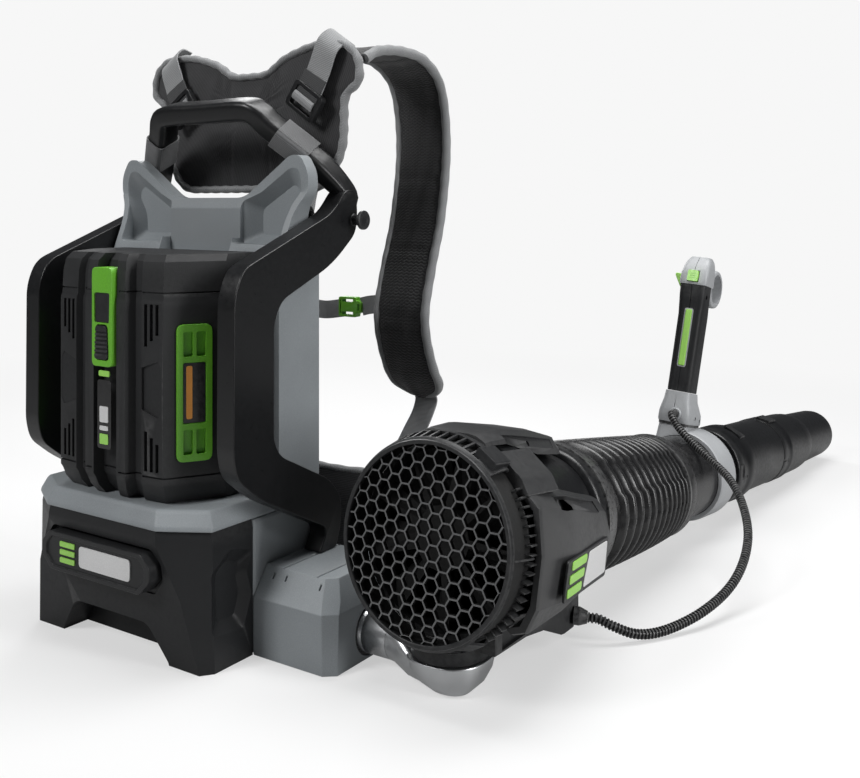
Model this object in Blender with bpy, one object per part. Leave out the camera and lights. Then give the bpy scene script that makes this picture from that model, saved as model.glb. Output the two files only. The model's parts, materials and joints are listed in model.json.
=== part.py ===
"""Backpack leaf blower: a battery backpack with a harness, and a blower on a swing arm at its right side.

Metres, +Z up. The origin is on the floor at the middle of the base. +X is the wearer's right, where the
blower hangs, and +Y is the way the wearer faces and the tube points.
"""

import math

import bmesh
import bpy
from mathutils import Matrix, Vector

MM = 0.001
GAP = 0.3 * MM

# Base and backpack frame
BASE_HALF = 113 * MM
BASE_BACK = 60 * MM
COVER_SPLIT_Y = -33 * MM
COVER_TOP_Z = 117 * MM
PLATFORM_TOP_Z = 134 * MM
WALL = 5 * MM

# Battery
BATTERY_BOTTOM_Z = 134.6 * MM
BATTERY_TOP_Z = 346 * MM
BATTERY_BACK_Y = -2 * MM

# Shell behind the battery
SHELL_FRONT_Y = 0.5 * MM
SHELL_BACK_Y = 58 * MM

# Side guards and carry handle
GUARD_X = (117.5 * MM, 137 * MM)

# Swing arm and swivel post
ARM_Y = 21.5 * MM
ARM_Z = 24.0 * MM
ARM_RADIUS = 19.5 * MM
HOUSING_END_X = 200 * MM
POST_X = 281 * MM

# Blower: the fan axis starts at the middle of the inlet grille and the tube axis at the bellows' bend
INLET = Vector((285, -23, 125)) * MM
FAN_YAW, FAN_PITCH = 0.9, -7.4
BEND_AT = 355 * MM
TUBE_YAW, TUBE_PITCH = 4.0, -3.8
INLET_RADIUS = 77.5 * MM
HANDLE_AT = 182 * MM
HANDLE_ASIDE = Vector((-17, -10, 0)) * MM
HANDLE_LEAN = Vector((0.0776, 0.2115, 1.0))
CABLE_DIAMETER = 9 * MM


def direction(yaw, pitch):
    yaw, pitch = math.radians(yaw), math.radians(pitch)
    return Vector((math.cos(pitch) * math.sin(yaw), math.cos(pitch) * math.cos(yaw), math.sin(pitch)))


def frame_along(origin, axis):
    """A frame whose Z is the axis and whose X is level. For the fan and the tube, its X is +X and its Y is down."""
    z = axis.normalized()
    x = z.cross(Vector((0, 0, 1))).normalized()
    return Matrix.Translation(origin) @ Matrix((x, z.cross(x), z)).transposed().to_4x4()


FAN_AXIS = direction(FAN_YAW, FAN_PITCH)
TUBE_AXIS = direction(TUBE_YAW, TUBE_PITCH)
BEND = INLET + FAN_AXIS * BEND_AT
FAN_FRAME = frame_along(INLET, FAN_AXIS)
TUBE_FRAME = frame_along(BEND, TUBE_AXIS)
HANDLE_BASE = BEND + TUBE_AXIS * HANDLE_AT + HANDLE_ASIDE
HANDLE_FRAME = Matrix.Translation(HANDLE_BASE) @ Matrix(
    (
        Vector((0, 1, 0)).cross(HANDLE_LEAN).normalized(),
        HANDLE_LEAN.normalized().cross(Vector((0, 1, 0)).cross(HANDLE_LEAN).normalized()),
        HANDLE_LEAN.normalized(),
    )
).transposed().to_4x4()

BLACK = (0.022, 0.023, 0.025)
DARK = (0.035, 0.036, 0.038)
GREY = (0.17, 0.185, 0.195)
LIGHT_GREY = (0.30, 0.31, 0.32)
GREEN = (0.13, 0.42, 0.03)
LIME = (0.35, 0.68, 0.12)
ALUMINIUM = (0.62, 0.63, 0.64)
FABRIC = (0.03, 0.03, 0.032)
WEBBING = (0.16, 0.165, 0.17)


def clear_scene():
    for obj in list(bpy.data.objects):
        bpy.data.objects.remove(obj, do_unlink=True)


def dress(obj, colour, roughness=0.5, metallic=0.0):
    """Gives the object its own material."""
    look = bpy.data.materials.new(obj.name + "_look")
    look.use_nodes = True
    shader = look.node_tree.nodes["Principled BSDF"]
    shader.inputs["Base Color"].default_value = (*colour, 1.0)
    shader.inputs["Roughness"].default_value = roughness
    shader.inputs["Metallic"].default_value = metallic
    obj.data.materials.clear()
    obj.data.materials.append(look)
    return obj


def add_solid(name, bm, frame=None, bevel=0.0, segments=2, angle=35):
    """Makes an object of the mesh, faces outward, with rounded edges where it bends sharply."""
    bmesh.ops.recalc_face_normals(bm, faces=bm.faces)
    mesh = bpy.data.meshes.new(name)
    bm.to_mesh(mesh)
    bm.free()
    mesh.shade_smooth()
    mesh.set_sharp_from_angle(angle=math.radians(angle))
    obj = bpy.data.objects.new(name, mesh)
    bpy.context.scene.collection.objects.link(obj)
    if frame is not None:
        obj.matrix_world = frame
    if bevel > 0:
        rounding = obj.modifiers.new("rounding", "BEVEL")
        rounding.width = bevel
        rounding.segments = segments
        rounding.limit_method = "ANGLE"
        rounding.angle_limit = math.radians(angle)
    return obj


def rounded(points, radius, steps=3):
    """The closed outline with each corner turned into an arc."""
    outline = []
    count = len(points)
    for i in range(count):
        corner = Vector(points[i])
        before = Vector(points[i - 1]) - corner
        after = Vector(points[(i + 1) % count]) - corner
        reach = min(radius, before.length * 0.45, after.length * 0.45)
        start = corner + before.normalized() * reach
        end = corner + after.normalized() * reach
        for k in range(steps + 1):
            t = k / steps
            outline.append(start * (1 - t) ** 2 + corner * 2 * t * (1 - t) + end * t * t)
    return outline


def place(axis, flat, height):
    """A point of an outline drawn square to the axis: (y, z) for X, (x, z) for Y and (x, y) for Z."""
    a, b = flat
    return {"X": Vector((height, a, b)), "Y": Vector((a, height, b)), "Z": Vector((a, b, height))}[axis]


def loft(sections):
    """A closed body through sections that all have the same number of points."""
    bm = bmesh.new()
    rings = [[bm.verts.new(p) for p in section] for section in sections]
    count = len(rings[0])
    for low, high in zip(rings, rings[1:]):
        for i in range(count):
            j = (i + 1) % count
            bm.faces.new((low[i], low[j], high[j], high[i]))
    bm.faces.new(rings[0])
    bm.faces.new(list(reversed(rings[-1])))
    return bm


def prism(outline, axis, low, high):
    return loft([[place(axis, p, low) for p in outline], [place(axis, p, high) for p in outline]])


def block(low, high):
    outline = [(low[0], low[1]), (high[0], low[1]), (high[0], high[1]), (low[0], high[1])]
    return prism(outline, "Z", low[2], high[2])


def turned(profile, steps=24):
    """A body of revolution about Z from a closed profile of (radius, height); radius 0 closes on the axis."""
    bm = bmesh.new()
    rings = []
    for radius, height in profile:
        if radius == 0:
            rings.append([bm.verts.new((0, 0, height))] * steps)
            continue
        turns = [2 * math.pi * k / steps for k in range(steps)]
        rings.append([bm.verts.new((radius * math.cos(t), radius * math.sin(t), height)) for t in turns])
    pairs = list(zip(rings, rings[1:]))
    if profile[0][0] != 0:
        pairs.append((rings[-1], rings[0]))
    for low, high in pairs:
        for i in range(steps):
            j = (i + 1) % steps
            corners = [low[i], low[j], high[j], high[i]]
            face = list(dict.fromkeys(corners))
            if len(face) > 2:
                bm.faces.new(face)
    return bm


def sleeve(inner, outer, low, high, steps=24):
    return turned([(outer, low), (outer, high), (inner, high), (inner, low)], steps)


def rod(radius, low, high, steps=24):
    return turned([(0, low), (radius, low), (radius, high), (0, high)], steps)


def curve_through(points, per_span=4):
    """Points on a smooth curve through the given ones."""
    points = [Vector(p) for p in points]
    ends = [points[0] * 2 - points[1]] + points + [points[-1] * 2 - points[-2]]
    found = []
    for a, b, c, d in zip(ends, ends[1:], ends[2:], ends[3:]):
        for k in range(per_span):
            t = k / per_span
            found.append(
                0.5 * (2 * b + (c - a) * t + (2 * a - 5 * b + 4 * c - d) * t * t + (3 * b - a - 3 * c + d) * t**3)
            )
    found.append(points[-1])
    return found


def swept(path, section, across):
    """A bar along the path. The section is (across, square to it), and across is the way its width points."""
    sections = []
    for i, here in enumerate(path):
        ahead = path[min(i + 1, len(path) - 1)] - path[max(i - 1, 0)]
        wide = (across - ahead * (across.dot(ahead) / ahead.length_squared)).normalized()
        deep = ahead.normalized().cross(wide)
        sections.append([here + wide * a + deep * b for a, b in section])
    return loft(sections)


def flat_section(width, thickness, radius):
    w, t = width / 2, thickness / 2
    return rounded([(-w, -t), (w, -t), (w, t), (-w, t)], radius, 2)


def round_section(radius, steps=12):
    return [
        (radius * math.cos(2 * math.pi * k / steps), radius * math.sin(2 * math.pi * k / steps))
        for k in range(steps)
    ]


def cut(obj, bm, frame=None):
    """Takes the cutter away from the object."""
    change(obj, bm, "DIFFERENCE", frame)


def join(obj, bm, frame=None):
    change(obj, bm, "UNION", frame)


def change(obj, bm, operation, frame):
    helper = add_solid(f"{obj.name}_{operation.lower()}_{len(obj.modifiers)}", bm, frame)
    helper.hide_render = True
    helper.display_type = "WIRE"
    step = obj.modifiers.new(helper.name, "BOOLEAN")
    step.operation = operation
    step.object = helper


def mirrored(points):
    """The whole outline from its right half, given from bottom to top."""
    return list(points) + [(-x, y) for x, y in reversed(points)]


def millimetres(points):
    return [tuple(c * MM for c in p) for p in points]


# ---------------------------------------------------------------- base


def base_cover():
    bottom = mirrored(millimetres([(105, -88), (113, -78), (113, -33)]))
    middle = mirrored(millimetres([(92, -97), (113, -80), (113, -33)]))
    top = mirrored(millimetres([(70, -104), (112, -80), (113, -33)]))
    heights = (0, 62 * MM, COVER_TOP_Z)
    body = [[Vector((x, y, z)) for x, y in outline] for outline, z in zip((bottom, middle, top), heights)]
    cover = add_solid("base_cover", loft(body), bevel=3 * MM, angle=25)
    arch = rounded(millimetres([(-72, -2), (72, -2), (47, 33), (-47, 33)]), 12 * MM)
    cut(cover, prism(arch, "Y", -130 * MM, -62 * MM))
    cut(cover, block((-100 * MM, -76 * MM, 42 * MM), (100 * MM, 0, 110 * MM)))
    dress(cover, BLACK, 0.42)


def base_badge():
    corner = 12 * MM
    wide, low, high = 70 * MM, 64 * MM, 98 * MM
    outline = [
        (-wide, low + corner),
        (-wide + corner, low),
        (wide - corner, low),
        (wide, low + corner),
        (wide, high - corner),
        (wide - corner, high),
        (-wide + corner, high),
        (-wide, high - corner),
    ]
    badge = add_solid("base_badge", prism(outline, "Y", -111 * MM, -104.4 * MM), bevel=2 * MM)
    dress(badge, DARK, 0.4)


def base_housing():
    """Grey box behind the cover. It is open to the front, where the cover closes it."""
    front = COVER_SPLIT_Y + GAP
    body = block((-BASE_HALF, front, 0), (BASE_HALF, BASE_BACK, COVER_TOP_Z - GAP))
    housing = add_solid("base_housing", body, bevel=3 * MM)
    inner = BASE_HALF - WALL
    cut(housing, block((-inner, front - 0.02, 8 * MM), (inner, BASE_BACK - WALL, 108 * MM)))
    boss = rounded(millimetres([(-4, 1), (55, 1), (55, 60), (45, 68), (6, 68), (-4, 58)]), 4 * MM)
    join(housing, prism(boss, "X", -150 * MM, -BASE_HALF + MM))
    dress(housing, GREY, 0.5)


def battery_platform():
    """Grey tray that the battery stands on, with the plug in its middle."""
    low = mirrored(millimetres([(71, -105), (113, -81), (114, 0), (114, 60)]))
    high = mirrored(millimetres([(67, -100), (107, -78), (109, -5), (109, 60)]))
    heights = (COVER_TOP_Z + GAP, PLATFORM_TOP_Z)
    body = [[Vector((x, y, z)) for x, y in outline] for outline, z in zip((low, high), heights)]
    tray = add_solid("battery_platform", loft(body), bevel=2 * MM, angle=25)
    cut(tray, block((-36 * MM, -60 * MM, 100 * MM), (36 * MM, -36 * MM, 150 * MM)))
    dress(tray, GREY, 0.5)


def controller_board():
    board = block((-80 * MM, -20 * MM, 14 * MM), (80 * MM, 40 * MM, 16 * MM))
    obj = add_solid("controller_board", board)
    join(obj, block((-70 * MM, 0, 15 * MM), (-20 * MM, 30 * MM, 44 * MM)))
    join(obj, block((10 * MM, -10 * MM, 15 * MM), (40 * MM, 30 * MM, 30 * MM)))
    dress(obj, (0.02, 0.12, 0.05), 0.5)


def battery_socket():
    """Upright plug in the tray, which enters the battery from below."""
    body = block((-35 * MM, -59.5 * MM, 117.4 * MM), (35 * MM, -36.5 * MM, 150 * MM))
    dress(add_solid("battery_socket", body, bevel=1.5 * MM), DARK, 0.5)


def pivot_housing():
    """Grey box at the right of the base, which carries the swing arm's bearing."""
    left, right = BASE_HALF + GAP, HOUSING_END_X
    back = BASE_BACK
    lowest = [(left, -33 * MM), (right - 7 * MM, -33 * MM), (right, -26 * MM), (right, back), (left, back)]
    middle = [(left, -33 * MM), (right - 8 * MM, -33 * MM), (right, -24 * MM), (right, back), (left, back)]
    high = [(left, -16 * MM), (right - 20 * MM, -16 * MM), (right - 12 * MM, -8 * MM), (right - 12 * MM, back)]
    high.append((left, back))
    heights = (0, 50 * MM, 74 * MM)
    body = [[Vector((x, y, z)) for x, y in ring] for ring, z in zip((lowest, middle, high), heights)]
    housing = add_solid("pivot_housing", loft(body), bevel=3 * MM, angle=25)
    bore = frame_along(Vector((148 * MM, ARM_Y, ARM_Z)), Vector((1, 0, 0)))
    cut(housing, rod(22 * MM, 0, 80 * MM), bore)
    dress(housing, GREY, 0.5)


def arm_bush():
    frame = frame_along(Vector((160 * MM, ARM_Y, ARM_Z)), Vector((1, 0, 0)))
    dress(add_solid("arm_bush", sleeve(19.85 * MM, 21.6 * MM, 0, 39 * MM), frame), DARK, 0.35)


# ---------------------------------------------------------------- battery


def battery_outline(inset=0.0):
    """Plan of the battery: a narrow recess and a middle column at the front, and chamfered corners."""
    right = [
        (13, -88.5),
        (15, -98.5),
        (26, -98.5),
        (30, -90),
        (40, -90),
        (43, -95),
        (67.4, -93),
        (94.7, -48),
        (94.7, -8),
        (88, -2),
    ]
    points = [(x - inset * 0.6, y + inset) for x, y in right]
    return mirrored(millimetres(points))


def battery_case():
    heights = (BATTERY_BOTTOM_Z, 150 * MM, 153 * MM, 306 * MM, 309 * MM, 330 * MM, BATTERY_TOP_Z)
    insets = (9, 1.5, 0, 0, 1, 2, 9)
    body = []
    for height, inset in zip(heights, insets):
        body.append([Vector((x, min(y, BATTERY_BACK_Y), height)) for x, y in battery_outline(inset)])
    case = add_solid("battery_case", loft(body), bevel=1.2 * MM, segments=1, angle=30)
    cut(case, block((-37 * MM, -60.5 * MM, 100 * MM), (37 * MM, -35.5 * MM, 152 * MM)))
    for side in (-1, 1):
        cut(case, green_vent(side, 0.4 * MM))
    cut(case, latch_body(0.4 * MM))
    dress(case, BLACK, 0.45)


def green_vent(side, grow=0.0):
    """Tall plate let into the battery's chamfered corner."""
    wide, tall, middle = 15 * MM + grow, 58 * MM + grow, 229 * MM
    outline = rounded([(-wide, -tall), (wide, -tall), (wide, tall), (-wide, tall)], 6 * MM, 2)
    centre = Vector((side * 81.3 * MM, -71 * MM, middle))
    normal = Vector((side * 45, -27.3, 0)).normalized()
    across = Vector((0, 0, 1)).cross(normal)
    sections = []
    for depth in (-4 * MM - grow, 2.4 * MM):
        sections.append([centre + across * a + Vector((0, 0, b)) + normal * depth for a, b in outline])
    return loft(sections)


def latch_body(grow=0.0):
    """Green strap down the battery's middle column."""
    wide = 13 * MM + grow
    outline = [(-wide, 248 * MM - grow), (wide, 248 * MM - grow), (wide, 334 * MM + grow), (-wide, 334 * MM + grow)]
    return prism(rounded(outline, 5 * MM, 2), "Y", -102 * MM, -88 * MM + grow)


def battery_trim():
    for side, word in ((1, "right"), (-1, "left")):
        dress(add_solid(f"battery_vent_{word}", green_vent(side), bevel=0.8 * MM, segments=1), GREEN, 0.4)
    latch = add_solid("battery_latch", latch_body(), bevel=1.2 * MM, segments=1)
    cut(latch, block((-9 * MM, -110 * MM, 254 * MM), (9 * MM, -92 * MM, 284 * MM)))
    dress(latch, GREEN, 0.38)
    press = block((-8.5 * MM, -103.5 * MM, 254.5 * MM), (8.5 * MM, -96.5 * MM, 283.5 * MM))
    dress(add_solid("latch_button", press, bevel=1.5 * MM), DARK, 0.45)


# ---------------------------------------------------------------- shell, guards and carry handle


def main_shell():
    """Grey shell behind the battery, with two raised ears at its top and a low notch between them."""
    right = [(113, 134.6), (113, 372), (117, 388), (126, 400), (126, 418), (116, 434), (104, 434), (47, 395)]
    outline = mirrored(millimetres(right))
    front = [Vector((x, SHELL_FRONT_Y, z)) for x, z in outline]
    back = [Vector((x * 0.985, SHELL_BACK_Y, z)) for x, z in outline]
    shell = add_solid("main_shell", loft([front, back]), bevel=4 * MM)
    wedge = [(-1, 330), (26, 400), (26, 460), (-1, 460)]
    cut(shell, prism(millimetres(wedge), "X", -0.2, 0.2))
    cut(shell, block((-104 * MM, 44 * MM, 146 * MM), (104 * MM, 70 * MM, 380 * MM)))
    cut(shell, block((-0.2, 40 * MM, 372 * MM), (0.2, 70 * MM, 460 * MM)))
    for side in (-1, 1):
        pocket = [(52, 408), (104, 432), (112, 410), (96, 372), (44, 372)]
        outline = [(side * x * MM, z * MM) for x, z in pocket]
        cut(shell, prism(outline, "Y", -0.01, 36 * MM))
    dress(shell, GREY, 0.45)


def back_plate():
    """Black plate that closes the shell on the wearer's side."""
    plate = block((-103.5 * MM, 48 * MM, 146.5 * MM), (103.5 * MM, 57.5 * MM, 371.5 * MM))
    dress(add_solid("back_plate", plate, bevel=2 * MM, segments=1), BLACK, 0.5)


def guard_outline():
    """Bent bar seen from the side: (y, z), outer edge from the bottom up and inner edge back down."""
    outer = [(28, 74.5), (40, 95), (8, 111), (-48, 140), (-76, 163), (-81, 182), (-80, 312), (-70, 335), (47, 381)]
    upper = [(66, 402), (80, 402), (84, 385), (82, 362)]
    inner = [(47, 334), (-22, 306), (-32, 288), (-32, 186), (-23, 172), (42, 139), (59, 120), (60, 97), (52, 74.5)]
    return rounded(millimetres(outer + upper + inner), 12 * MM, 1)


def guards():
    for side, word in ((1, "right"), (-1, "left")):
        low, high = sorted((side * GUARD_X[0], side * GUARD_X[1]))
        bar = add_solid(f"guard_{word}", prism(guard_outline(), "X", low, high), bevel=5 * MM, segments=1, angle=40)
        dress(bar, BLACK, 0.4)


def carry_handle():
    """Bar over the top of the pack. Its two ends stand on the guards' knuckles."""
    half = [(0, 25, 478), (50, 25, 478), (64, 28, 473), (75, 36, 460), (105, 58.5, 430), (128, 77, 399)]
    half = millimetres(half)
    left = [(-x, y, z) for x, y, z in reversed(half[1:])]
    path = curve_through(left + half, 2)
    section = rounded(millimetres([(-13, -10), (13, -10), (13, 10), (-13, 10)]), 6 * MM, 1)
    bar = add_solid("carry_handle", swept(path, section, Vector((0, 1, 0.35)).normalized()))
    clip = block((-0.2, 0, 0.35), (0.2, 0.2, 402.4 * MM))
    cut(bar, clip)
    dress(bar, BLACK, 0.42)


def storage_peg():
    frame = frame_along(Vector((137.3, 78, 374)) * MM, Vector((1, 0, 0)))
    profile = millimetres([(0, 0), (6, 0), (5, 9), (9, 9), (9, 12.5), (0, 12.5)])
    dress(add_solid("storage_peg", turned(profile, 20), frame), DARK, 0.4)


# ---------------------------------------------------------------- harness


def harness_yoke():
    """Padded collar behind the carry handle, with a cut-out for the neck."""
    right = [(96, 402), (122, 440), (123, 494), (142, 503), (140, 530), (122, 545), (84, 546), (45, 535), (24, 520)]
    outline = mirrored(millimetres(right))
    front = [Vector((x, 78 * MM, z)) for x, z in outline]
    back = [Vector((x, 96 * MM, z)) for x, z in outline]
    dress(add_solid("harness_yoke", loft([front, back]), bevel=5 * MM), FABRIC, 0.9)


def back_pad():
    """Padded panel between the shell and the wearer's back."""
    pad = block((-98 * MM, 58.5 * MM, 168 * MM), (98 * MM, 76 * MM, 392 * MM))
    dress(add_solid("back_pad", pad, bevel=7 * MM), FABRIC, 0.9)


def strap_route(side):
    """Middle line of a shoulder strap, from the collar's top to the pad's lower end."""
    right = [(100, 101, 528), (98, 130, 540), (97, 175, 544), (96, 215, 538), (95, 246, 512), (95, 256, 450)]
    right += [(95, 245, 375), (95, 226, 318), (95, 214, 265), (95, 231, 212), (95, 258, 180)]
    left = [(100, 101, 512), (98, 130, 518), (97, 180, 514), (96, 226, 500), (95, 254, 468), (95, 262, 420)]
    left += [(95, 246, 362), (95, 222, 312), (95, 212, 265), (95, 226, 212), (95, 246, 180)]
    route = right if side > 0 else left
    return curve_through([(side * x * MM, y * MM, z * MM) for x, y, z in route], 2)


def shoulder_straps():
    section = flat_section(66 * MM, 13 * MM, 5 * MM)
    for side, word in ((1, "right"), (-1, "left")):
        strap = swept(strap_route(side), section, Vector((1, 0, 0)))
        dress(add_solid(f"shoulder_strap_{word}", strap), FABRIC, 0.9)


def lower_webbings():
    """Flat webbing from each shoulder strap's lower end back to the base."""
    section = flat_section(28 * MM, 3 * MM, 1 * MM)
    for side, word in ((1, "right"), (-1, "left")):
        reach = 262 if side > 0 else 250
        route = [(95, reach, 170), (97, reach - 27, 142), (100, 190, 114), (100, 140, 104), (98, 102, 101)]
        path = curve_through([(side * x * MM, y * MM, z * MM) for x, y, z in route], 2)
        web = swept(path, section, Vector((1, 0, 0)))
        dress(add_solid(f"lower_webbing_{word}", web), WEBBING, 0.8)


def load_lifters():
    """Ladder-lock buckles of the webbing that pulls the collar to the shoulders."""
    for side, word in ((1, "right"), (-1, "left")):
        frame = Matrix.Translation((side * 84 * MM, 70.5 * MM, 488 * MM)) @ Matrix.Rotation(side * 0.6, 4, "Y")
        body = block((-20 * MM, -3.5 * MM, -14 * MM), (20 * MM, 3.5 * MM, 14 * MM))
        buckle = add_solid(f"load_lifter_buckle_{word}", body, frame, bevel=2 * MM, segments=1)
        for low, high in ((-10, -2), (2, 10)):
            slot = block((-14 * MM, -9 * MM, low * MM), (14 * MM, 9 * MM, high * MM))
            cut(buckle, slot, frame)
        dress(buckle, DARK, 0.4)


def chest_strap():
    section = flat_section(20 * MM, 2.4 * MM, 0.8 * MM)
    runs = {
        "right": [(57.5, 218, 281), (50, 218, 280.4), (44.5, 218, 279)],
        "left": [(7, 218.5, 272), (-12, 217, 270), (-35, 214, 273), (-59, 211, 278)],
    }
    for word, route in runs.items():
        path = curve_through(millimetres(route), 2)
        web = swept(path, section, Vector((0, 0, 1)))
        dress(add_solid(f"chest_webbing_{word}", web), WEBBING, 0.8)
    body = block((9.5 * MM, 213 * MM, 263 * MM), (42 * MM, 223 * MM, 287 * MM))
    dress(add_solid("chest_buckle", body, bevel=3 * MM), GREEN, 0.4)


def waist_belt():
    half = [(0, 85, 95), (70, 85, 95), (115, 93, 92), (142, 118, 88), (152, 158, 84), (150, 190, 82)]
    half = millimetres(half)
    left = [(-x, y, z) for x, y, z in reversed(half[1:])]
    path = curve_through(left + half, 2)
    belt = swept(path, flat_section(88 * MM, 13 * MM, 5 * MM), Vector((0, 0, 1)))
    dress(add_solid("waist_belt", belt), FABRIC, 0.9)


# ---------------------------------------------------------------- swing arm


def arm_tube():
    frame = frame_along(Vector((158 * MM, ARM_Y, ARM_Z)), Vector((1, 0, 0)))
    dress(add_solid("arm_tube", sleeve(16 * MM, ARM_RADIUS, 0, 70 * MM), frame), ALUMINIUM, 0.3, 1.0)


def arm_cup():
    """Cast end of the arm: a neck that widens into a round cup, with a pocket for the post."""
    cup_profile = millimetres([(0, 1.5), (20, 1.5), (29, 6), (34, 16), (34, 24), (0, 24)])
    cup = add_solid("arm_cup", turned(cup_profile, 24), Matrix.Translation((POST_X, ARM_Y, 0)), angle=50)
    sections = []
    for x, wide, low, high in ((228.4, 19.5, 4.5, 43.5), (238, 20.5, 4, 42), (252, 25, 3, 31), (272, 30, 3, 23)):
        middle, tall = (low + high) / 2, (high - low) / 2
        ring = [(ARM_Y + a * wide * MM, (middle + b * tall) * MM) for a, b in round_section(1.0, 20)]
        sections.append([Vector((x * MM, y, z)) for y, z in ring])
    join(cup, loft(sections))
    pocket = turned(millimetres([(0, 9), (28.8, 9), (28.8, 24), (33.6, 24), (33.6, 60), (0, 60)]), 32)
    cut(cup, pocket, Matrix.Translation((POST_X, ARM_Y, 0)))
    dress(cup, ALUMINIUM, 0.32, 1.0)


def swivel_post():
    """Upright that turns in the cup and carries the blower."""
    profile = millimetres([(0, 9.4), (28.3, 9.4), (28.3, 24.4), (33, 24.4), (33, 29), (28, 33), (0, 33)])
    post = add_solid("swivel_post", turned(profile, 24), Matrix.Translation((POST_X, ARM_Y, 0)))
    dress(post, BLACK, 0.4)


# ---------------------------------------------------------------- blower


def lathe_on(frame, name, profile, colour, roughness, steps=24, metallic=0.0):
    obj = add_solid(name, turned(millimetres(profile), steps), frame)
    return dress(obj, colour, roughness, metallic)


def inlet_grille():
    """Disc of hexagonal openings in front of the fan."""
    pitch = 33.0
    disc = [(0, -4 * MM), (50 * MM, -3.4 * MM), (INLET_RADIUS, -1.5 * MM), (INLET_RADIUS, 0), (0, 0)]
    grille = add_solid("inlet_grille", turned(disc, 36), FAN_FRAME)
    radius = pitch / math.sqrt(3) - 1.6
    holes = None
    for row in range(-2, 3):
        for column in range(-2, 3):
            x = (column + 0.5 * (row % 2)) * pitch
            y = row * pitch * math.sqrt(3) / 2
            if math.hypot(x, y) > 62:
                continue
            turns = [math.pi / 6 + k * math.pi / 3 for k in range(6)]
            outline = [((x + radius * math.cos(t)) * MM, (y + radius * math.sin(t)) * MM) for t in turns]
            hole = prism(outline, "Z", -9 * MM, 9 * MM)
            holes = add_to(holes, hole)
    cut(grille, holes, FAN_FRAME)
    dress(grille, BLACK, 0.45)


def add_to(whole, part):
    """Adds the second mesh to the first, both apart from each other in space."""
    if whole is None:
        return part
    carried = bpy.data.meshes.new("carried")
    part.to_mesh(carried)
    part.free()
    whole.from_mesh(carried)
    bpy.data.meshes.remove(carried)
    return whole


def inlet_ring():
    profile = [(78, -2), (80, -4), (83, -2), (84.5, 4), (84.5, 22), (82, 26), (77, 26), (77, 0.5), (78, 0.5)]
    lathe_on(FAN_FRAME, "inlet_ring", profile, BLACK, 0.45, 28)


def fan_housing():
    """Duct round the fan and the motor, which narrows to the bellows."""
    outer = [(77, 26.4), (79, 34), (78, 78), (74, 92), (62, 120), (58, 140), (56, 190), (58, 191), (58, 198)]
    inner = [(52, 198), (52, 140), (57, 120), (68, 92), (73, 78), (73, 26.4)]
    lathe_on(FAN_FRAME, "fan_housing", outer + inner, BLACK, 0.42, 28)


def fan_rotor():
    """Hub with pitched blades."""
    blades, hub, tip = 9, 26 * MM, 71 * MM
    sections = []
    for height, turn in ((24 * MM, 0.0), (34 * MM, 0.18), (44 * MM, 0.36)):
        ring = []
        for k in range(blades):
            for angle, radius in ((-0.13, hub), (-0.012, tip), (0.012, tip), (0.13, hub)):
                t = 2 * math.pi * k / blades + angle + turn
                ring.append(Vector((radius * math.cos(t), radius * math.sin(t), height)))
        sections.append(ring)
    dress(add_solid("fan_rotor", loft(sections), FAN_FRAME), DARK, 0.5)


def motor():
    lathe_on(FAN_FRAME, "motor_shaft", [(0, 44.3), (5, 44.3), (5, 57.7), (0, 57.7)], ALUMINIUM, 0.3, 16, 1.0)
    lathe_on(FAN_FRAME, "motor", [(0, 58), (30, 58), (33, 62), (33, 112), (24, 120), (0, 124)], DARK, 0.4, 24)


def stator_vanes():
    """Ring that holds the motor in the duct on its vanes."""
    vanes, hub, tip = 7, 37 * MM, 72 * MM
    ring = []
    for k in range(vanes):
        for angle, radius in ((-0.30, hub), (-0.045, hub), (-0.02, tip), (0.02, tip), (0.045, hub)):
            t = 2 * math.pi * k / vanes + angle
            ring.append((radius * math.cos(t), radius * math.sin(t)))
    holder = add_solid("stator_vanes", prism(ring, "Z", 64 * MM, 78 * MM), FAN_FRAME)
    cut(holder, rod(33.4 * MM, 50 * MM, 90 * MM), FAN_FRAME)
    dress(holder, BLACK, 0.5)


def duct_core(start):
    """The duct's outside, a little enlarged, for covers to be cut round."""
    profile = [(0, start), (79.6, start), (79.6, 79), (75, 92), (63, 120), (58.8, 141), (58.8, 260), (0, 260)]
    return turned(millimetres(profile), 28)


def top_cover():
    """Long cover over the duct, with sloped sides, from the inlet ring to the bellows."""
    sections = []
    for s, wide, low, high in ((27, 44, 80, 90), (60, 42, 79.5, 93), (120, 34, 66, 88), (185, 24, 59.5, 76)):
        ring = [(-wide, low), (wide, low), (wide * 0.72, high), (-wide * 0.72, high)]
        sections.append([Vector((x * MM, -y * MM, s * MM)) for x, y in ring])
    cover = add_solid("top_cover", loft(sections), FAN_FRAME, bevel=2 * MM, segments=1)
    cut(cover, duct_core(20), FAN_FRAME)
    dress(cover, DARK, 0.4)


def side_cover():
    """Cover on the duct's outer side, wrapped round a quarter of it."""
    sections = []
    for s, radius in ((30, 83.5), (92, 83), (150, 70), (196, 66)):
        ring = []
        for k in range(7):
            t = math.radians(-22 + 11.5 * k)
            ring.append(Vector((radius * math.cos(t) * MM, radius * math.sin(t) * MM, s * MM)))
        for k in reversed(range(7)):
            t = math.radians(-22 + 11.5 * k)
            ring.append(Vector(((radius - 6) * math.cos(t) * MM, (radius - 6) * math.sin(t) * MM, s * MM)))
        sections.append(ring)
    cover = add_solid("side_cover", loft(sections), FAN_FRAME, bevel=1.5 * MM, segments=1)
    cut(cover, duct_core(20), FAN_FRAME)
    dress(cover, DARK, 0.4)


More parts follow.
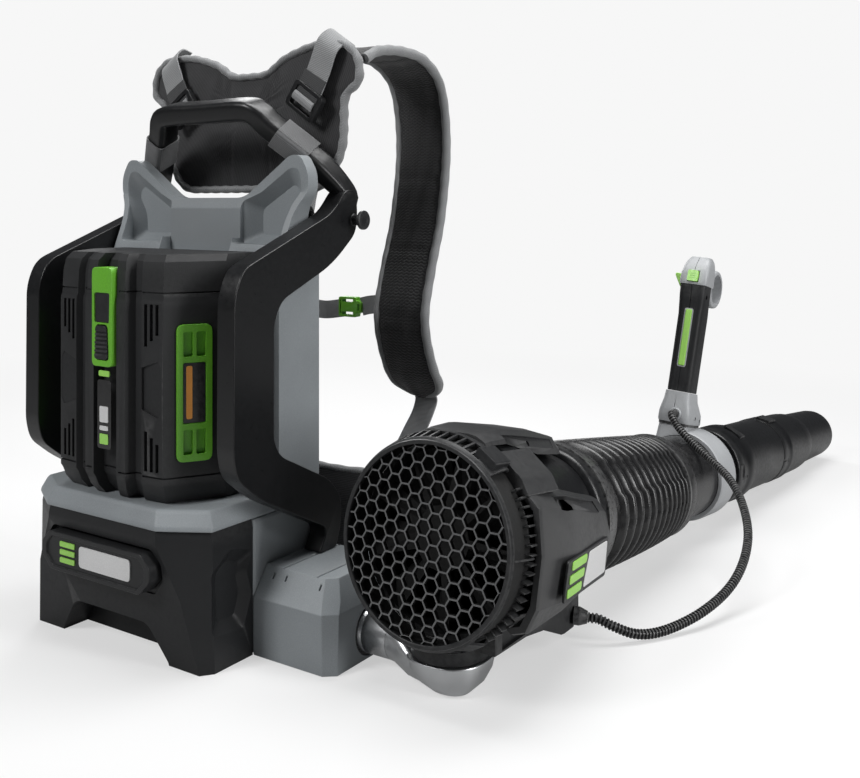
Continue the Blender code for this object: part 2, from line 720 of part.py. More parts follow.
def mount_bracket():
    """Bracket under the duct. It stands on the swivel post and lets the control cable out at its front."""
    side = [(8, 33.4), (60, 33.4), (92, 28), (130, 12), (150, 12), (158, 24), (158, 56), (8, 62)]
    bracket = add_solid("mount_bracket", prism(millimetres(side), "X", 262 * MM, 328 * MM), bevel=3 * MM, segments=1)
    cut(bracket, duct_core(20), FAN_FRAME)
    cut(bracket, rod(86 * MM, -30 * MM, 27 * MM), FAN_FRAME)
    dress(bracket, BLACK, 0.45)


def cable_gland():
    frame = frame_along(Vector((328, 146, 23)) * MM, Vector((0.94, 0.34, -0.06)))
    profile = [(0, 3.1), (8, 3.1), (8, 8), (5.4, 15), (0, 15)]
    lathe_on(frame, "cable_gland", profile, BLACK, 0.6, 16)


def bellows():
    """Ribbed sleeve that bends between the duct and the tube."""
    start = INLET + FAN_AXIS * 199 * MM
    end = BEND + TUBE_AXIS * 66 * MM
    steps, ribs = 20, 7
    outer, inner = [], []
    for i in range(2 * ribs + 1):
        t = i / (2 * ribs)
        here = start * (1 - t) ** 2 + BEND * 2 * t * (1 - t) + end * t * t
        axis = (FAN_AXIS * (1 - t) + TUBE_AXIS * t).normalized()
        wide = (66 - 9 * t) * MM
        outer.append((here, axis, wide if i % 2 else wide - 5 * MM))
        inner.append((here, axis, wide - 9 * MM))
    bm = bmesh.new()
    rings = []
    for here, axis, radius in outer + inner[::-1]:
        frame = frame_along(here, axis)
        turns = [2 * math.pi * k / steps for k in range(steps)]
        rings.append([bm.verts.new(frame @ Vector((radius * math.cos(t), radius * math.sin(t), 0))) for t in turns])
    for low, high in zip(rings, rings[1:] + rings[:1]):
        for i in range(steps):
            j = (i + 1) % steps
            bm.faces.new((low[i], low[j], high[j], high[i]))
    dress(add_solid("bellows", bm), BLACK, 0.5)


def tube_parts():
    collar = [(57, 66.6), (57, 82), (54, 84), (47.8, 84), (47.8, 66.6)]
    lathe_on(TUBE_FRAME, "bellows_collar", collar, BLACK, 0.5)
    tube = [(47.2, 66.6), (47.2, 190), (44.6, 225), (43.4, 228), (43.4, 296), (40, 296), (40, 228), (43, 190)]
    lathe_on(TUBE_FRAME, "control_tube", tube + [(43, 66.6)], BLACK, 0.38)
    nozzle = [(46.6, 230), (47.4, 232), (47.4, 282), (46, 284), (46, 296), (43.2, 302), (42.6, 396), (39.2, 398)]
    nozzle += [(39.2, 424), (36.4, 424), (36.4, 398), (39.8, 394), (39.8, 296.6), (44, 296.6), (44, 230)]
    lathe_on(TUBE_FRAME, "nozzle_tube", nozzle, BLACK, 0.38)
    tip = [(41.5, 398.6), (43, 400), (43, 428), (41.6, 432), (40, 500), (37.6, 530), (34, 632), (32, 642)]
    tip += [(29.5, 642), (31.2, 630), (35, 528), (37.4, 500), (37.8, 424.4), (39.8, 424.4), (39.8, 398.6)]
    lathe_on(TUBE_FRAME, "nozzle_tip", tip, BLACK, 0.36)


# ---------------------------------------------------------------- control handle


def handle_clamp():
    """Grey band round the tube with a foot for the handle."""
    profile = [(47.6, 162), (52, 162), (52.5, 166), (52.5, 200), (51, 204), (47.6, 204)]
    band = add_solid("handle_clamp", turned(millimetres(profile), 24), TUBE_FRAME)
    join(band, block((-17 * MM, -16 * MM, 24 * MM), (17 * MM, 22 * MM, 60 * MM)), HANDLE_FRAME)
    cut(band, rod(47.6 * MM, 120 * MM, 240 * MM), TUBE_FRAME)
    dress(band, LIGHT_GREY, 0.4)


def handle_bracket():
    """Grey foot of the handle, wide at the clamp and narrow at the grip, with the cable's hole."""
    sections = []
    for z, wide, back, front in ((60.4, 19, -20, 30), (72, 19.5, -20, 30), (84, 17, -19, 22), (97, 15.5, -18, 17)):
        ring = rounded(millimetres([(-wide, back), (wide, back), (wide, front), (-wide, front)]), 7 * MM, 2)
        sections.append([Vector((p.x, p.y, z * MM)) for p in ring])
    dress(add_solid("handle_bracket", loft(sections), HANDLE_FRAME, angle=50), LIGHT_GREY, 0.4)


def grip():
    """Black grip with a pocket for the green insert."""
    sections = []
    rows = ((97.4, 14.5, -17, 16), (150, 14.8, -17, 16), (190, 15.0, -17, 16), (206, 16.0, -18, 10), (226, 16.5, -20, 9.6))
    for z, wide, back, front in rows:
        ring = rounded(millimetres([(-wide, back), (wide, back), (wide, front), (-wide, front)]), 8 * MM, 3)
        sections.append([Vector((p.x, p.y, z * MM)) for p in ring])
    body = add_solid("grip", loft(sections), HANDLE_FRAME, angle=50)
    cut(body, block((-4.4 * MM, -30 * MM, 127.6 * MM), (4.4 * MM, -14 * MM, 196.4 * MM)), HANDLE_FRAME)
    cut(body, block((-7.4 * MM, 2 * MM, 150 * MM), (7.4 * MM, 40 * MM, 186 * MM)), HANDLE_FRAME)
    dress(body, BLACK, 0.55)
    insert = block((-4 * MM, -18.6 * MM, 128 * MM), (4 * MM, -14.4 * MM, 196 * MM))
    dress(add_solid("grip_insert", insert, HANDLE_FRAME, bevel=1 * MM, segments=1), LIME, 0.4)


def handle_head():
    """Grey cap on the grip and the ring that hangs on the storage peg."""
    sections = []
    for z, wide, back, front in ((226.4, 17, -20.5, 12), (240, 17, -19, 12), (254, 15, -12, 13), (262, 12, -6, 13)):
        ring = rounded(millimetres([(-wide, back), (wide, back), (wide, front), (-wide, front)]), 5 * MM, 2)
        sections.append([Vector((p.x, p.y, z * MM)) for p in ring])
    head = add_solid("handle_head", loft(sections), HANDLE_FRAME, angle=50)
    cut(head, block((-7 * MM, -30 * MM, 229.2 * MM), (7 * MM, -14.6 * MM, 243.8 * MM)), HANDLE_FRAME)
    ring = HANDLE_FRAME @ Matrix.Translation((-13 * MM, 34 * MM, 228 * MM)) @ Matrix.Rotation(math.pi / 2, 4, "Y")
    join(head, turned(millimetres([(0, 0), (22, 0), (23.5, 3), (23.5, 23), (22, 26), (0, 26)]), 20), ring)
    cut(head, rod(18.5 * MM, -20 * MM, 60 * MM, 20), ring)
    dress(head, LIGHT_GREY, 0.4)


def button_frame():
    """On the sloped face of the head, with Y pointing into it."""
    return HANDLE_FRAME @ Matrix.Translation((0, -19.8 * MM, 236 * MM)) @ Matrix.Rotation(-0.1, 4, "X")


def handle_controls():
    button = block((-6.5 * MM, -3.6 * MM, -6 * MM), (6.5 * MM, 1.6 * MM, 7 * MM))
    dress(add_solid("boost_button", button, button_frame(), bevel=1 * MM, segments=1), LIME, 0.4)
    lever = [(-17.4, 222), (-25.5, 236), (-25.5, 239), (-17.4, 239)]
    body = prism(millimetres(lever), "Y", -12 * MM, -2 * MM)
    dress(add_solid("cruise_lever", body, HANDLE_FRAME, bevel=0.8 * MM, segments=1), LIME, 0.4)
    outline = rounded(millimetres([(9, 152), (18.5, 153.5), (20.5, 168), (17, 184), (9, 184)]), 2 * MM, 2)
    body = prism(outline, "X", -6.8 * MM, 6.8 * MM)
    dress(add_solid("trigger", body, HANDLE_FRAME, bevel=0.8 * MM, segments=1), LIME, 0.4)


CABLE_ROUTE = [
    (342.64, 151.3, 22.07),
    (347, 152.85, 21.8),
    (352, 154.8, 21.2),
    (363, 160.5, 15.5),
    (377, 173, 8),
    (390, 190, 5.8),
    (403, 213, 8),
    (416, 241, 14),
    (425, 276, 22),
    (429, 306, 33),
    (426, 341, 46),
    (417, 373, 60),
    (399, 408, 76),
    (379, 431, 90),
    (354, 448, 102),
    (329, 461, 115),
    (309, 470, 128),
    (297.5, 477.5, 139),
    (294.45, 484.6, 141.95),
    (294.25, 494.4, 139.89),
]


def control_cable():
    """Ribbed conduit from the bracket to the handle's foot."""
    curve = bpy.data.curves.new("control_cable", "CURVE")
    curve.dimensions = "3D"
    curve.bevel_depth = CABLE_DIAMETER / 2
    curve.bevel_resolution = 2
    curve.use_fill_caps = True
    points = curve_through(millimetres(CABLE_ROUTE), 2)
    line = curve.splines.new("POLY")
    line.points.add(len(points) - 1)
    for point, place_of in zip(line.points, points):
        point.co = (*place_of, 1.0)
    obj = bpy.data.objects.new("control_cable", curve)
    bpy.context.scene.collection.objects.link(obj)
    dress(obj, BLACK, 0.5)


def build():
    clear_scene()
    base_cover()
    base_badge()
    base_housing()
    battery_platform()
    controller_board()
    battery_socket()
    pivot_housing()
    arm_bush()
    battery_case()
    battery_trim()
    main_shell()
    back_plate()
    guards()
    carry_handle()
    storage_peg()
    harness_yoke()
    back_pad()
    shoulder_straps()
    lower_webbings()
    load_lifters()
    chest_strap()
    waist_belt()
    arm_tube()
    arm_cup()
    swivel_post()
    inlet_grille()
    inlet_ring()
    fan_housing()
    fan_rotor()
    motor()
    stator_vanes()
    top_cover()
    side_cover()
    mount_bracket()
    cable_gland()
    bellows()
    tube_parts()
    handle_clamp()
    handle_bracket()
    grip()
    handle_head()
    handle_controls()
    control_cable()


build()
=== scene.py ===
"""Looks for the backpack leaf blower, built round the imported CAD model."""

import json
import math

import bmesh
import bpy
from mathutils import Matrix, Vector


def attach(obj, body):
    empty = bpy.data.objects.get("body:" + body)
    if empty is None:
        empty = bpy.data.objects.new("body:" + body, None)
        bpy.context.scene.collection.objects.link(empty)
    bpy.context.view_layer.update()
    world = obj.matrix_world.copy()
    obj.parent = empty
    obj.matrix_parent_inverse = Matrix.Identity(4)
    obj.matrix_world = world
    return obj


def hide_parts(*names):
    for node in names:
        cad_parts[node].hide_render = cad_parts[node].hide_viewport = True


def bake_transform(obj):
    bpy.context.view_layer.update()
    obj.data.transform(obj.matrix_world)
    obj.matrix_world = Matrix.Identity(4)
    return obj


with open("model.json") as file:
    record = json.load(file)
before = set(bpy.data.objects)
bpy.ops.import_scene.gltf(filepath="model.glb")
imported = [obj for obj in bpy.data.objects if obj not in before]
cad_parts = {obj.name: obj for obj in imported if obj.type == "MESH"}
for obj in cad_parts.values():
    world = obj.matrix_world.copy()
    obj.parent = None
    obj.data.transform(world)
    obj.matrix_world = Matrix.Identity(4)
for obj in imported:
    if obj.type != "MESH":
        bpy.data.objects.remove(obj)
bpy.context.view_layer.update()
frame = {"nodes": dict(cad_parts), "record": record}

MM = 0.001

# ---------------------------------------------------------------- frames of the blower, tube and handle


def direction(yaw, pitch):
    yaw, pitch = math.radians(yaw), math.radians(pitch)
    return Vector((math.cos(pitch) * math.sin(yaw), math.cos(pitch) * math.cos(yaw), math.sin(pitch)))


def frame_along(origin, axis):
    """A frame whose Z is the axis and whose X is level. For the fan and the tube its Y points down."""
    z = axis.normalized()
    x = z.cross(Vector((0, 0, 1))).normalized()
    return Matrix.Translation(origin) @ Matrix((x, z.cross(x), z)).transposed().to_4x4()


INLET = Vector((285, -23, 125)) * MM
FAN_AXIS = direction(0.9, -7.4)
TUBE_AXIS = direction(4.0, -3.8)
BEND = INLET + FAN_AXIS * 355 * MM
FAN = frame_along(INLET, FAN_AXIS)
TUBE = frame_along(BEND, TUBE_AXIS)
LEAN = Vector((0.0776, 0.2115, 1.0)).normalized()
ACROSS = Vector((0, 1, 0)).cross(LEAN).normalized()
HANDLE = Matrix.Translation(BEND + TUBE_AXIS * 182 * MM + Vector((-17, -10, 0)) * MM) @ Matrix(
    (ACROSS, LEAN.cross(ACROSS), LEAN)
).transposed().to_4x4()

# ---------------------------------------------------------------- mesh tools


def mm(points):
    return [tuple(c * MM for c in p) for p in points]


def spot(*point):
    return mm([point])[0]


def to_side(side, points):
    """Points in millimetres, put on the right (1) or the left (-1)."""
    return [(side * x * MM, y * MM, z * MM) for x, y, z in points]


def both_sides(half):
    """A line that starts on the middle plane, with its mirror image before it."""
    return [(-x, y, z) for x, y, z in reversed(half[1:])] + half


def mirrored(points):
    return list(points) + [(-x, y) for x, y in reversed(points)]


def rect(left, low, right, high):
    return [(left, low), (right, low), (right, high), (left, high)]


def rounded(points, radius, steps=3):
    """The closed outline with each corner turned into an arc. radius is one number or one for each corner."""
    outline = []
    count = len(points)
    for i in range(count):
        wanted = radius[i] if isinstance(radius, (list, tuple)) else radius
        corner = Vector(points[i])
        before = Vector(points[i - 1]) - corner
        after = Vector(points[(i + 1) % count]) - corner
        reach = min(wanted, before.length * 0.45, after.length * 0.45)
        start = corner + before.normalized() * reach
        end = corner + after.normalized() * reach
        for k in range(steps + 1):
            t = k / steps
            outline.append(start * (1 - t) ** 2 + corner * 2 * t * (1 - t) + end * t * t)
    return outline


def eased(points, radius, steps=3):
    """A rounded outline from millimetres."""
    return rounded(mm(points), radius * MM, steps)


def place(axis, flat, height):
    a, b = flat
    return {"X": Vector((height, a, b)), "Y": Vector((a, height, b)), "Z": Vector((a, b, height))}[axis]


def loft(sections, closed=False):
    bm = bmesh.new()
    rings = [[bm.verts.new(p) for p in section] for section in sections]
    count = len(rings[0])
    pairs = list(zip(rings, rings[1:])) + ([(rings[-1], rings[0])] if closed else [])
    for low, high in pairs:
        for i in range(count):
            j = (i + 1) % count
            bm.faces.new((low[i], low[j], high[j], high[i]))
    if not closed:
        bm.faces.new(rings[0])
        bm.faces.new(list(reversed(rings[-1])))
    return bm


def stack(rows):
    """A body through plans at rising heights, in millimetres."""
    return loft([[Vector((x, y, z)) * MM for x, y in plan] for z, plan in rows])


def prism(outline, axis, low, high):
    return loft([[place(axis, p, low) for p in outline], [place(axis, p, high) for p in outline]])


def slab(outline, axis, low, high):
    """A prism between two heights in millimetres."""
    return prism(outline, axis, low * MM, high * MM)


def block(low, high):
    outline = [(low[0], low[1]), (high[0], low[1]), (high[0], high[1]), (low[0], high[1])]
    return prism(outline, "Z", low[2], high[2])


def brick(low, high):
    """A block between two corners in millimetres."""
    return block(spot(*low), spot(*high))


def turned(profile, steps=64):
    """A body of revolution about Z from a closed profile of (radius, height)."""
    bm = bmesh.new()
    rings = []
    for radius, height in profile:
        if radius == 0:
            rings.append([bm.verts.new((0, 0, height))] * steps)
            continue
        turns = [2 * math.pi * k / steps for k in range(steps)]
        rings.append([bm.verts.new((radius * math.cos(t), radius * math.sin(t), height)) for t in turns])
    pairs = list(zip(rings, rings[1:]))
    if profile[0][0] != 0:
        pairs.append((rings[-1], rings[0]))
    for low, high in pairs:
        for i in range(steps):
            j = (i + 1) % steps
            face = list(dict.fromkeys([low[i], low[j], high[j], high[i]]))
            if len(face) > 2:
                bm.faces.new(face)
    return bm


def curve_through(points, per_span=6):
    points = [Vector(p) for p in points]
    ends = [points[0] * 2 - points[1]] + points + [points[-1] * 2 - points[-2]]
    found = []
    for a, b, c, d in zip(ends, ends[1:], ends[2:], ends[3:]):
        for k in range(per_span):
            t = k / per_span
            found.append(
                0.5 * (2 * b + (c - a) * t + (2 * a - 5 * b + 4 * c - d) * t * t + (3 * b - a - 3 * c + d) * t**3)
            )
    found.append(points[-1])
    return found


def length_of(path):
    return sum((b - a).length for a, b in zip(path, path[1:]))


def distances(path):
    """How far along the path each of its points is."""
    walked = [0.0]
    for a, b in zip(path, path[1:]):
        walked.append(walked[-1] + (b - a).length)
    return walked


def evenly(path, step):
    """The same line with points a step apart."""
    total = length_of(path)
    count = max(2, round(total / step))
    found, at, walked = [path[0].copy()], 0, 0.0
    for k in range(1, count):
        goal = total * k / count
        while walked + (path[at + 1] - path[at]).length < goal:
            walked += (path[at + 1] - path[at]).length
            at += 1
        span = path[at + 1] - path[at]
        found.append(path[at] + span * ((goal - walked) / span.length))
    found.append(path[-1].copy())
    return found


def frames_on(path, across, closed=False):
    """(point, across, square to it, along) at each point of the path."""
    found = []
    count = len(path)
    for i, here in enumerate(path):
        if closed:
            ahead = path[(i + 1) % count] - path[i - 1]
        else:
            ahead = path[min(i + 1, count - 1)] - path[max(i - 1, 0)]
        wide = (across - ahead * (across.dot(ahead) / ahead.length_squared)).normalized()
        found.append((here, wide, ahead.normalized().cross(wide), ahead.normalized()))
    return found


def ring_at(here, wide, deep, outline):
    return [here + wide * a + deep * b for a, b in outline]


def round_section(a, b=None, steps=16):
    b = a if b is None else b
    return [(a * math.cos(2 * math.pi * k / steps), b * math.sin(2 * math.pi * k / steps)) for k in range(steps)]


def add_to(whole, part, frame_of=None):
    """Adds the second mesh to the first."""
    carried = bpy.data.meshes.new("carried")
    bmesh.ops.recalc_face_normals(part, faces=part.faces)
    part.to_mesh(carried)
    part.free()
    if frame_of is not None:
        carried.transform(frame_of)
    if whole is None:
        whole = bmesh.new()
    whole.from_mesh(carried)
    bpy.data.meshes.remove(carried)
    return whole


def plain_object(name, bm, frame_of=None):
    bmesh.ops.recalc_face_normals(bm, faces=bm.faces)
    mesh = bpy.data.meshes.new(name)
    bm.to_mesh(mesh)
    bm.free()
    if frame_of is not None:
        mesh.transform(frame_of)
    obj = bpy.data.objects.new(name, mesh)
    bpy.context.scene.collection.objects.link(obj)
    return obj


def apply_modifiers(obj):
    graph = bpy.context.evaluated_depsgraph_get()
    mesh = bpy.data.meshes.new_from_object(obj.evaluated_get(graph), preserve_all_data_layers=True, depsgraph=graph)
    old = obj.data
    obj.modifiers.clear()
    obj.data = mesh
    bpy.data.meshes.remove(old)


def boolean(obj, bm, operation, frame_of):
    tool = plain_object("tool", bm, frame_of)
    step = obj.modifiers.new("step", "BOOLEAN")
    step.operation = operation
    step.object = tool
    apply_modifiers(obj)
    bpy.data.meshes.remove(tool.data)


def cut(obj, bm, frame_of=None):
    boolean(obj, bm, "DIFFERENCE", frame_of)


def join(obj, bm, frame_of=None):
    boolean(obj, bm, "UNION", frame_of)


def finish_piece(obj, body, look, replaces=(), bevel=0.0, segments=3, angle=32, slot=None, ride=True):
    """Rounds and shades the piece, gives it its material and lets it ride on its body."""
    if bevel > 0:
        step = obj.modifiers.new("rounding", "BEVEL")
        step.width = bevel
        step.segments = segments
        step.limit_method = "ANGLE"
        step.angle_limit = math.radians(angle)
        step.harden_normals = False
        apply_modifiers(obj)
    obj.data.shade_smooth()
    obj.data.set_sharp_from_angle(angle=math.radians(angle + 4))
    if bevel > 0:
        step = obj.modifiers.new("normals", "WEIGHTED_NORMAL")
        step.keep_sharp = True
        apply_modifiers(obj)
    obj.data.materials.clear()
    obj.data.materials.append(LOOKS[look])
    if ride:
        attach(obj, body)
    if replaces:
        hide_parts(*replaces)
    return obj


def piece(name, bm, body, look, frame_of=None, cuts=(), joins=(), **rest):
    """cuts and joins hold (mesh, frame) pairs."""
    obj = plain_object(name, bm, frame_of)
    for tool, its_frame in joins:
        join(obj, tool, its_frame)
    for tool, its_frame in cuts:
        cut(obj, tool, its_frame)
    return finish_piece(obj, body, look, **rest)


def uv_from(obj, of_point):
    """A UV map in metres, from each corner's place."""
    layer = obj.data.uv_layers.new(name="cloth")
    for loop in obj.data.loops:
        layer.data[loop.index].uv = of_point(obj.data.vertices[loop.vertex_index].co, loop.vertex_index)


# ---------------------------------------------------------------- materials


class Look:
    """A node material that starts from one Principled BSDF."""

    def __init__(self, name, colour, rough, metal=0.0, **sockets):
        self.material = bpy.data.materials.new(name)
        self.material.use_nodes = True
        self.tree = self.material.node_tree
        self.shader = self.tree.nodes["Principled BSDF"]
        self.shader.inputs["Base Color"].default_value = (*colour, 1)
        self.shader.inputs["Roughness"].default_value = rough
        self.shader.inputs["Metallic"].default_value = metal
        for key, value in sockets.items():
            self.shader.inputs[key.replace("_", " ")].default_value = value

    def node(self, kind, **settings):
        made = self.tree.nodes.new("ShaderNode" + kind)
        for key, value in settings.items():
            setattr(made, key, value)
        return made

    def link(self, source, target):
        self.tree.links.new(source, target)

    def coordinates(self, uv=False):
        if uv:
            node = self.node("UVMap", uv_map="cloth")
            return node.outputs[0]
        return self.node("TexCoord").outputs["Object"]

    def noise(self, at, scale, detail=2.0, rough=0.5, stretch=None):
        if stretch:
            mapping = self.node("Mapping")
            mapping.inputs["Scale"].default_value = stretch
            self.link(at, mapping.inputs["Vector"])
            at = mapping.outputs[0]
        node = self.node("TexNoise")
        node.inputs["Scale"].default_value = scale
        node.inputs["Detail"].default_value = detail
        node.inputs["Roughness"].default_value = rough
        self.link(at, node.inputs["Vector"])
        return node.outputs["Fac"]

    def bands(self, at, period, axis="X", profile="SIN", distortion=0.0, turn=0.0):
        if turn:
            mapping = self.node("Mapping")
            mapping.inputs["Rotation"].default_value = (0, 0, turn)
            self.link(at, mapping.inputs["Vector"])
            at = mapping.outputs[0]
        node = self.node("TexWave", wave_type="BANDS", bands_direction=axis, wave_profile=profile)
        node.inputs["Scale"].default_value = 2 * math.pi / (20 * period)
        node.inputs["Distortion"].default_value = distortion
        self.link(at, node.inputs["Vector"])
        return node.outputs["Fac"]

    def math(self, operation, a, b):
        node = self.node("Math", operation=operation)
        for socket, value in zip(node.inputs, (a, b)):
            if isinstance(value, (int, float)):
                socket.default_value = value
            else:
                self.link(value, socket)
        return node.outputs[0]

    def weigh(self, a, share_a, b, share_b):
        return self.math("ADD", self.math("MULTIPLY", a, share_a), self.math("MULTIPLY", b, share_b))

    def spread(self, value, low, high, start=0.0, end=1.0, smooth=False):
        node = self.node("MapRange", interpolation_type="SMOOTHSTEP" if smooth else "LINEAR")
        self.link(value, node.inputs["Value"])
        for key, number in (("From Min", start), ("From Max", end), ("To Min", low), ("To Max", high)):
            node.inputs[key].default_value = number
        return node.outputs[0]

    def mix(self, fac, a, b):
        node = self.node("Mix", data_type="RGBA")
        self.link(fac, node.inputs["Factor"])
        for socket, value in ((node.inputs[6], a), (node.inputs[7], b)):
            if isinstance(value, tuple):
                socket.default_value = (*value, 1)
            else:
                self.link(value, socket)
        return node.outputs[2]

    def colour(self, value):
        self.link(value, self.shader.inputs["Base Color"])

    def roughness(self, value):
        self.link(value, self.shader.inputs["Roughness"])

    def bump(self, height, distance, strength=1.0):
        node = self.node("Bump")
        node.inputs["Distance"].default_value = distance
        node.inputs["Strength"].default_value = strength
        self.link(height, node.inputs["Height"])
        if self.shader.inputs["Normal"].is_linked:
            self.link(self.shader.inputs["Normal"].links[0].from_socket, node.inputs["Normal"])
        self.link(node.outputs[0], self.shader.inputs["Normal"])


def tint(colour, factor):
    return tuple(min(1.0, c * factor) for c in colour)


def plastic(name, colour, rough=0.45, grain=1500, depth=0.00006, edge=0.35, mottle=0.1, **sockets):
    """Moulded plastic: spark-eroded grain, slow shade changes, and edges made lighter: partly rubbed wear, partly
    painted highlight.
    """
    look = Look(name, colour, rough, **sockets)
    at = look.coordinates()
    broad = look.noise(at, 18, 3)
    fine = look.noise(at, grain, 2)
    patchy = look.noise(at, 240, 3)
    base = look.mix(look.spread(broad, 0, 1, 0.35, 0.65), tint(colour, 1 - mottle), tint(colour, 1 + mottle))
    base = look.mix(look.spread(fine, 0, 0.22, 0.45, 0.7), base, tint(colour, 1.9))
    # Lighter along sharp edges by pointiness, scaled by edge: partly rubbed wear, partly painted highlight.
    point = look.node("NewGeometry").outputs["Pointiness"]
    wear_and_painted_highlight_mask = look.math("MULTIPLY", look.spread(point, 0, edge, 0.52, 0.6), look.spread(patchy, 0.35, 1, 0.35, 0.6))
    rubbed_and_highlit_colour = tuple(c + (0.28 - c) * 0.45 if c < 0.28 else min(1, c * 1.25) for c in colour)
    look.colour(look.mix(wear_and_painted_highlight_mask, base, rubbed_and_highlit_colour))
    shine = look.math("ADD", look.spread(patchy, rough - 0.05, rough + 0.05, 0.3, 0.7), look.spread(fine, -0.03, 0.03))
    look.roughness(shine)
    look.bump(fine, depth, 0.6)
    return look.material


def metal(name, colour, rough=0.3, streak=(1, 1, 1), grain=700):
    look = Look(name, colour, rough, 1.0)
    at = look.coordinates()
    lines = look.noise(at, grain, 3, stretch=streak)
    broad = look.noise(at, 30, 3)
    look.colour(look.mix(look.spread(broad, 0, 1, 0.3, 0.7), tint(colour, 0.9), tint(colour, 1.06)))
    look.roughness(look.math("ADD", look.spread(lines, rough - 0.08, rough + 0.1), look.spread(broad, -0.04, 0.04)))
    look.bump(lines, 0.00004, 0.5)
    return look.material


def webbing_look(name, colour):
    """Woven tape: ribs across, fine threads along, with painted shade where the ribs dip."""
    look = Look(name, colour, 0.75, Sheen_Weight=0.25, Sheen_Roughness=0.4)
    at = look.coordinates(uv=True)
    ribs = look.bands(at, 0.0016, "Y")
    threads = look.bands(at, 0.0007, "X")
    loose = look.noise(at, 900, 3)
    broad = look.noise(at, 60, 3)
    height = look.weigh(ribs, 0.7, threads, 0.3)
    shade = look.weigh(height, 0.6, loose, 0.4)
    # Darker where the ribs and threads dip: painted shade on the weave.
    base = look.mix(look.spread(shade, 0, 1, 0.2, 0.8), tint(colour, 0.62), tint(colour, 1.3))
    look.colour(look.mix(look.spread(broad, 0, 0.25, 0.4, 0.7), base, tint(colour, 0.8)))
    look.roughness(look.spread(loose, 0.65, 0.85))
    look.bump(height, 0.0003, 0.8)
    return look.material


def mesh_cloth(name, colour, period=0.0032):
    """3-D spacer mesh: staggered pits, near black with painted shade, and a knitted rim."""
    look = Look(name, colour, 0.85, Sheen_Weight=0.2, Sheen_Roughness=0.5)
    at = look.coordinates(uv=True)
    one = look.bands(at, period, "X", turn=math.radians(60))
    two = look.bands(at, period, "X", turn=math.radians(-60))
    three = look.bands(at, period, "Y")
    pits = look.math("MULTIPLY", look.math("ADD", look.math("ADD", one, two), three), 0.3333)
    fuzz = look.noise(at, 2600, 2)
    broad = look.noise(at, 45, 3)
    open_ = look.spread(pits, 0, 1, 0.32, 0.62, smooth=True)
    # Pits near black and rims lighter: painted shade in the pits.
    base = look.mix(open_, tint(colour, 0.25), tint(colour, 1.35))
    base = look.mix(look.spread(fuzz, 0, 0.4, 0.4, 0.8), base, tint(colour, 1.9))
    look.colour(look.mix(look.spread(broad, 0, 0.4, 0.35, 0.7), base, tint(colour, 0.6)))
    look.bump(open_, 0.0006, 0.9)
    look.bump(fuzz, 0.0001, 0.5)
    return look.material


def woven(name, colour, period=0.0018, turn=0.6, contrast=1.0, sheen=0.3, rough=0.85):
    """Twill cloth with fine diagonal ribs."""
    look = Look(name, colour, rough, Sheen_Weight=sheen, Sheen_Roughness=0.4)
    at = look.coordinates(uv=True)
    diagonal = look.bands(at, period, "X", turn=turn, distortion=0.6)
    cross = look.bands(at, period * 0.5, "X", turn=turn + math.pi / 2)
    fuzz = look.noise(at, 2200, 2)
    broad = look.noise(at, 30, 4)
    height = look.weigh(diagonal, 0.65, cross, 0.35)
    shade = look.weigh(height, 0.65, fuzz, 0.35)
    # Darker in the ribs' dips and lighter on their crests: painted shade and painted light on the twill.
    dark, light = tint(colour, 1 - 0.45 * contrast), tint(colour, 1 + 0.5 * contrast)
    base = look.mix(look.spread(shade, 0, 1, 0.2, 0.8), dark, light)
    look.colour(look.mix(look.spread(broad, 0, 0.35, 0.35, 0.7), base, tint(colour, 0.7)))
    look.roughness(look.spread(fuzz, rough - 0.08, rough + 0.06))
    look.bump(height, 0.00035, 0.8)
    look.bump(fuzz, 0.00008, 0.5)
    return look.material


def grille_plastic():
    """Black plastic with a painted highlight on its outer faces and painted shade, near black, on the cells' walls."""
    look = Look("honeycomb_plastic_with_painted_highlight", (0.1, 0.1, 0.1), 0.34)
    at = look.coordinates()
    normal = look.node("TexCoord").outputs["Normal"]
    facing = look.node("VectorMath", operation="DOT_PRODUCT")
    look.link(normal, facing.inputs[0])
    facing.inputs[1].default_value = tuple(-FAN_AXIS)
    fine = look.noise(at, 1300, 2)
    # Lighter grey on faces turned out along the fan's axis: painted highlight; near black on the cell walls: painted
    # shade.
    bar = look.mix(look.spread(fine, 0, 1, 0.3, 0.7), (0.085, 0.086, 0.088), (0.15, 0.152, 0.155))
    painted_highlight_mask = look.spread(facing.outputs["Value"], 0, 1, 0.35, 0.8, smooth=True)
    look.colour(look.mix(painted_highlight_mask, (0.003, 0.003, 0.003), bar))
    look.roughness(look.spread(painted_highlight_mask, 0.9, 0.34))
    look.bump(fine, 0.00005, 0.6)
    return look.material


BLACK = (0.007, 0.0073, 0.008)
SOFT_BLACK = (0.012, 0.0125, 0.0135)
GREY = (0.235, 0.255, 0.268)
GREEN = (0.125, 0.40, 0.022)
LIME = (0.30, 0.62, 0.10)

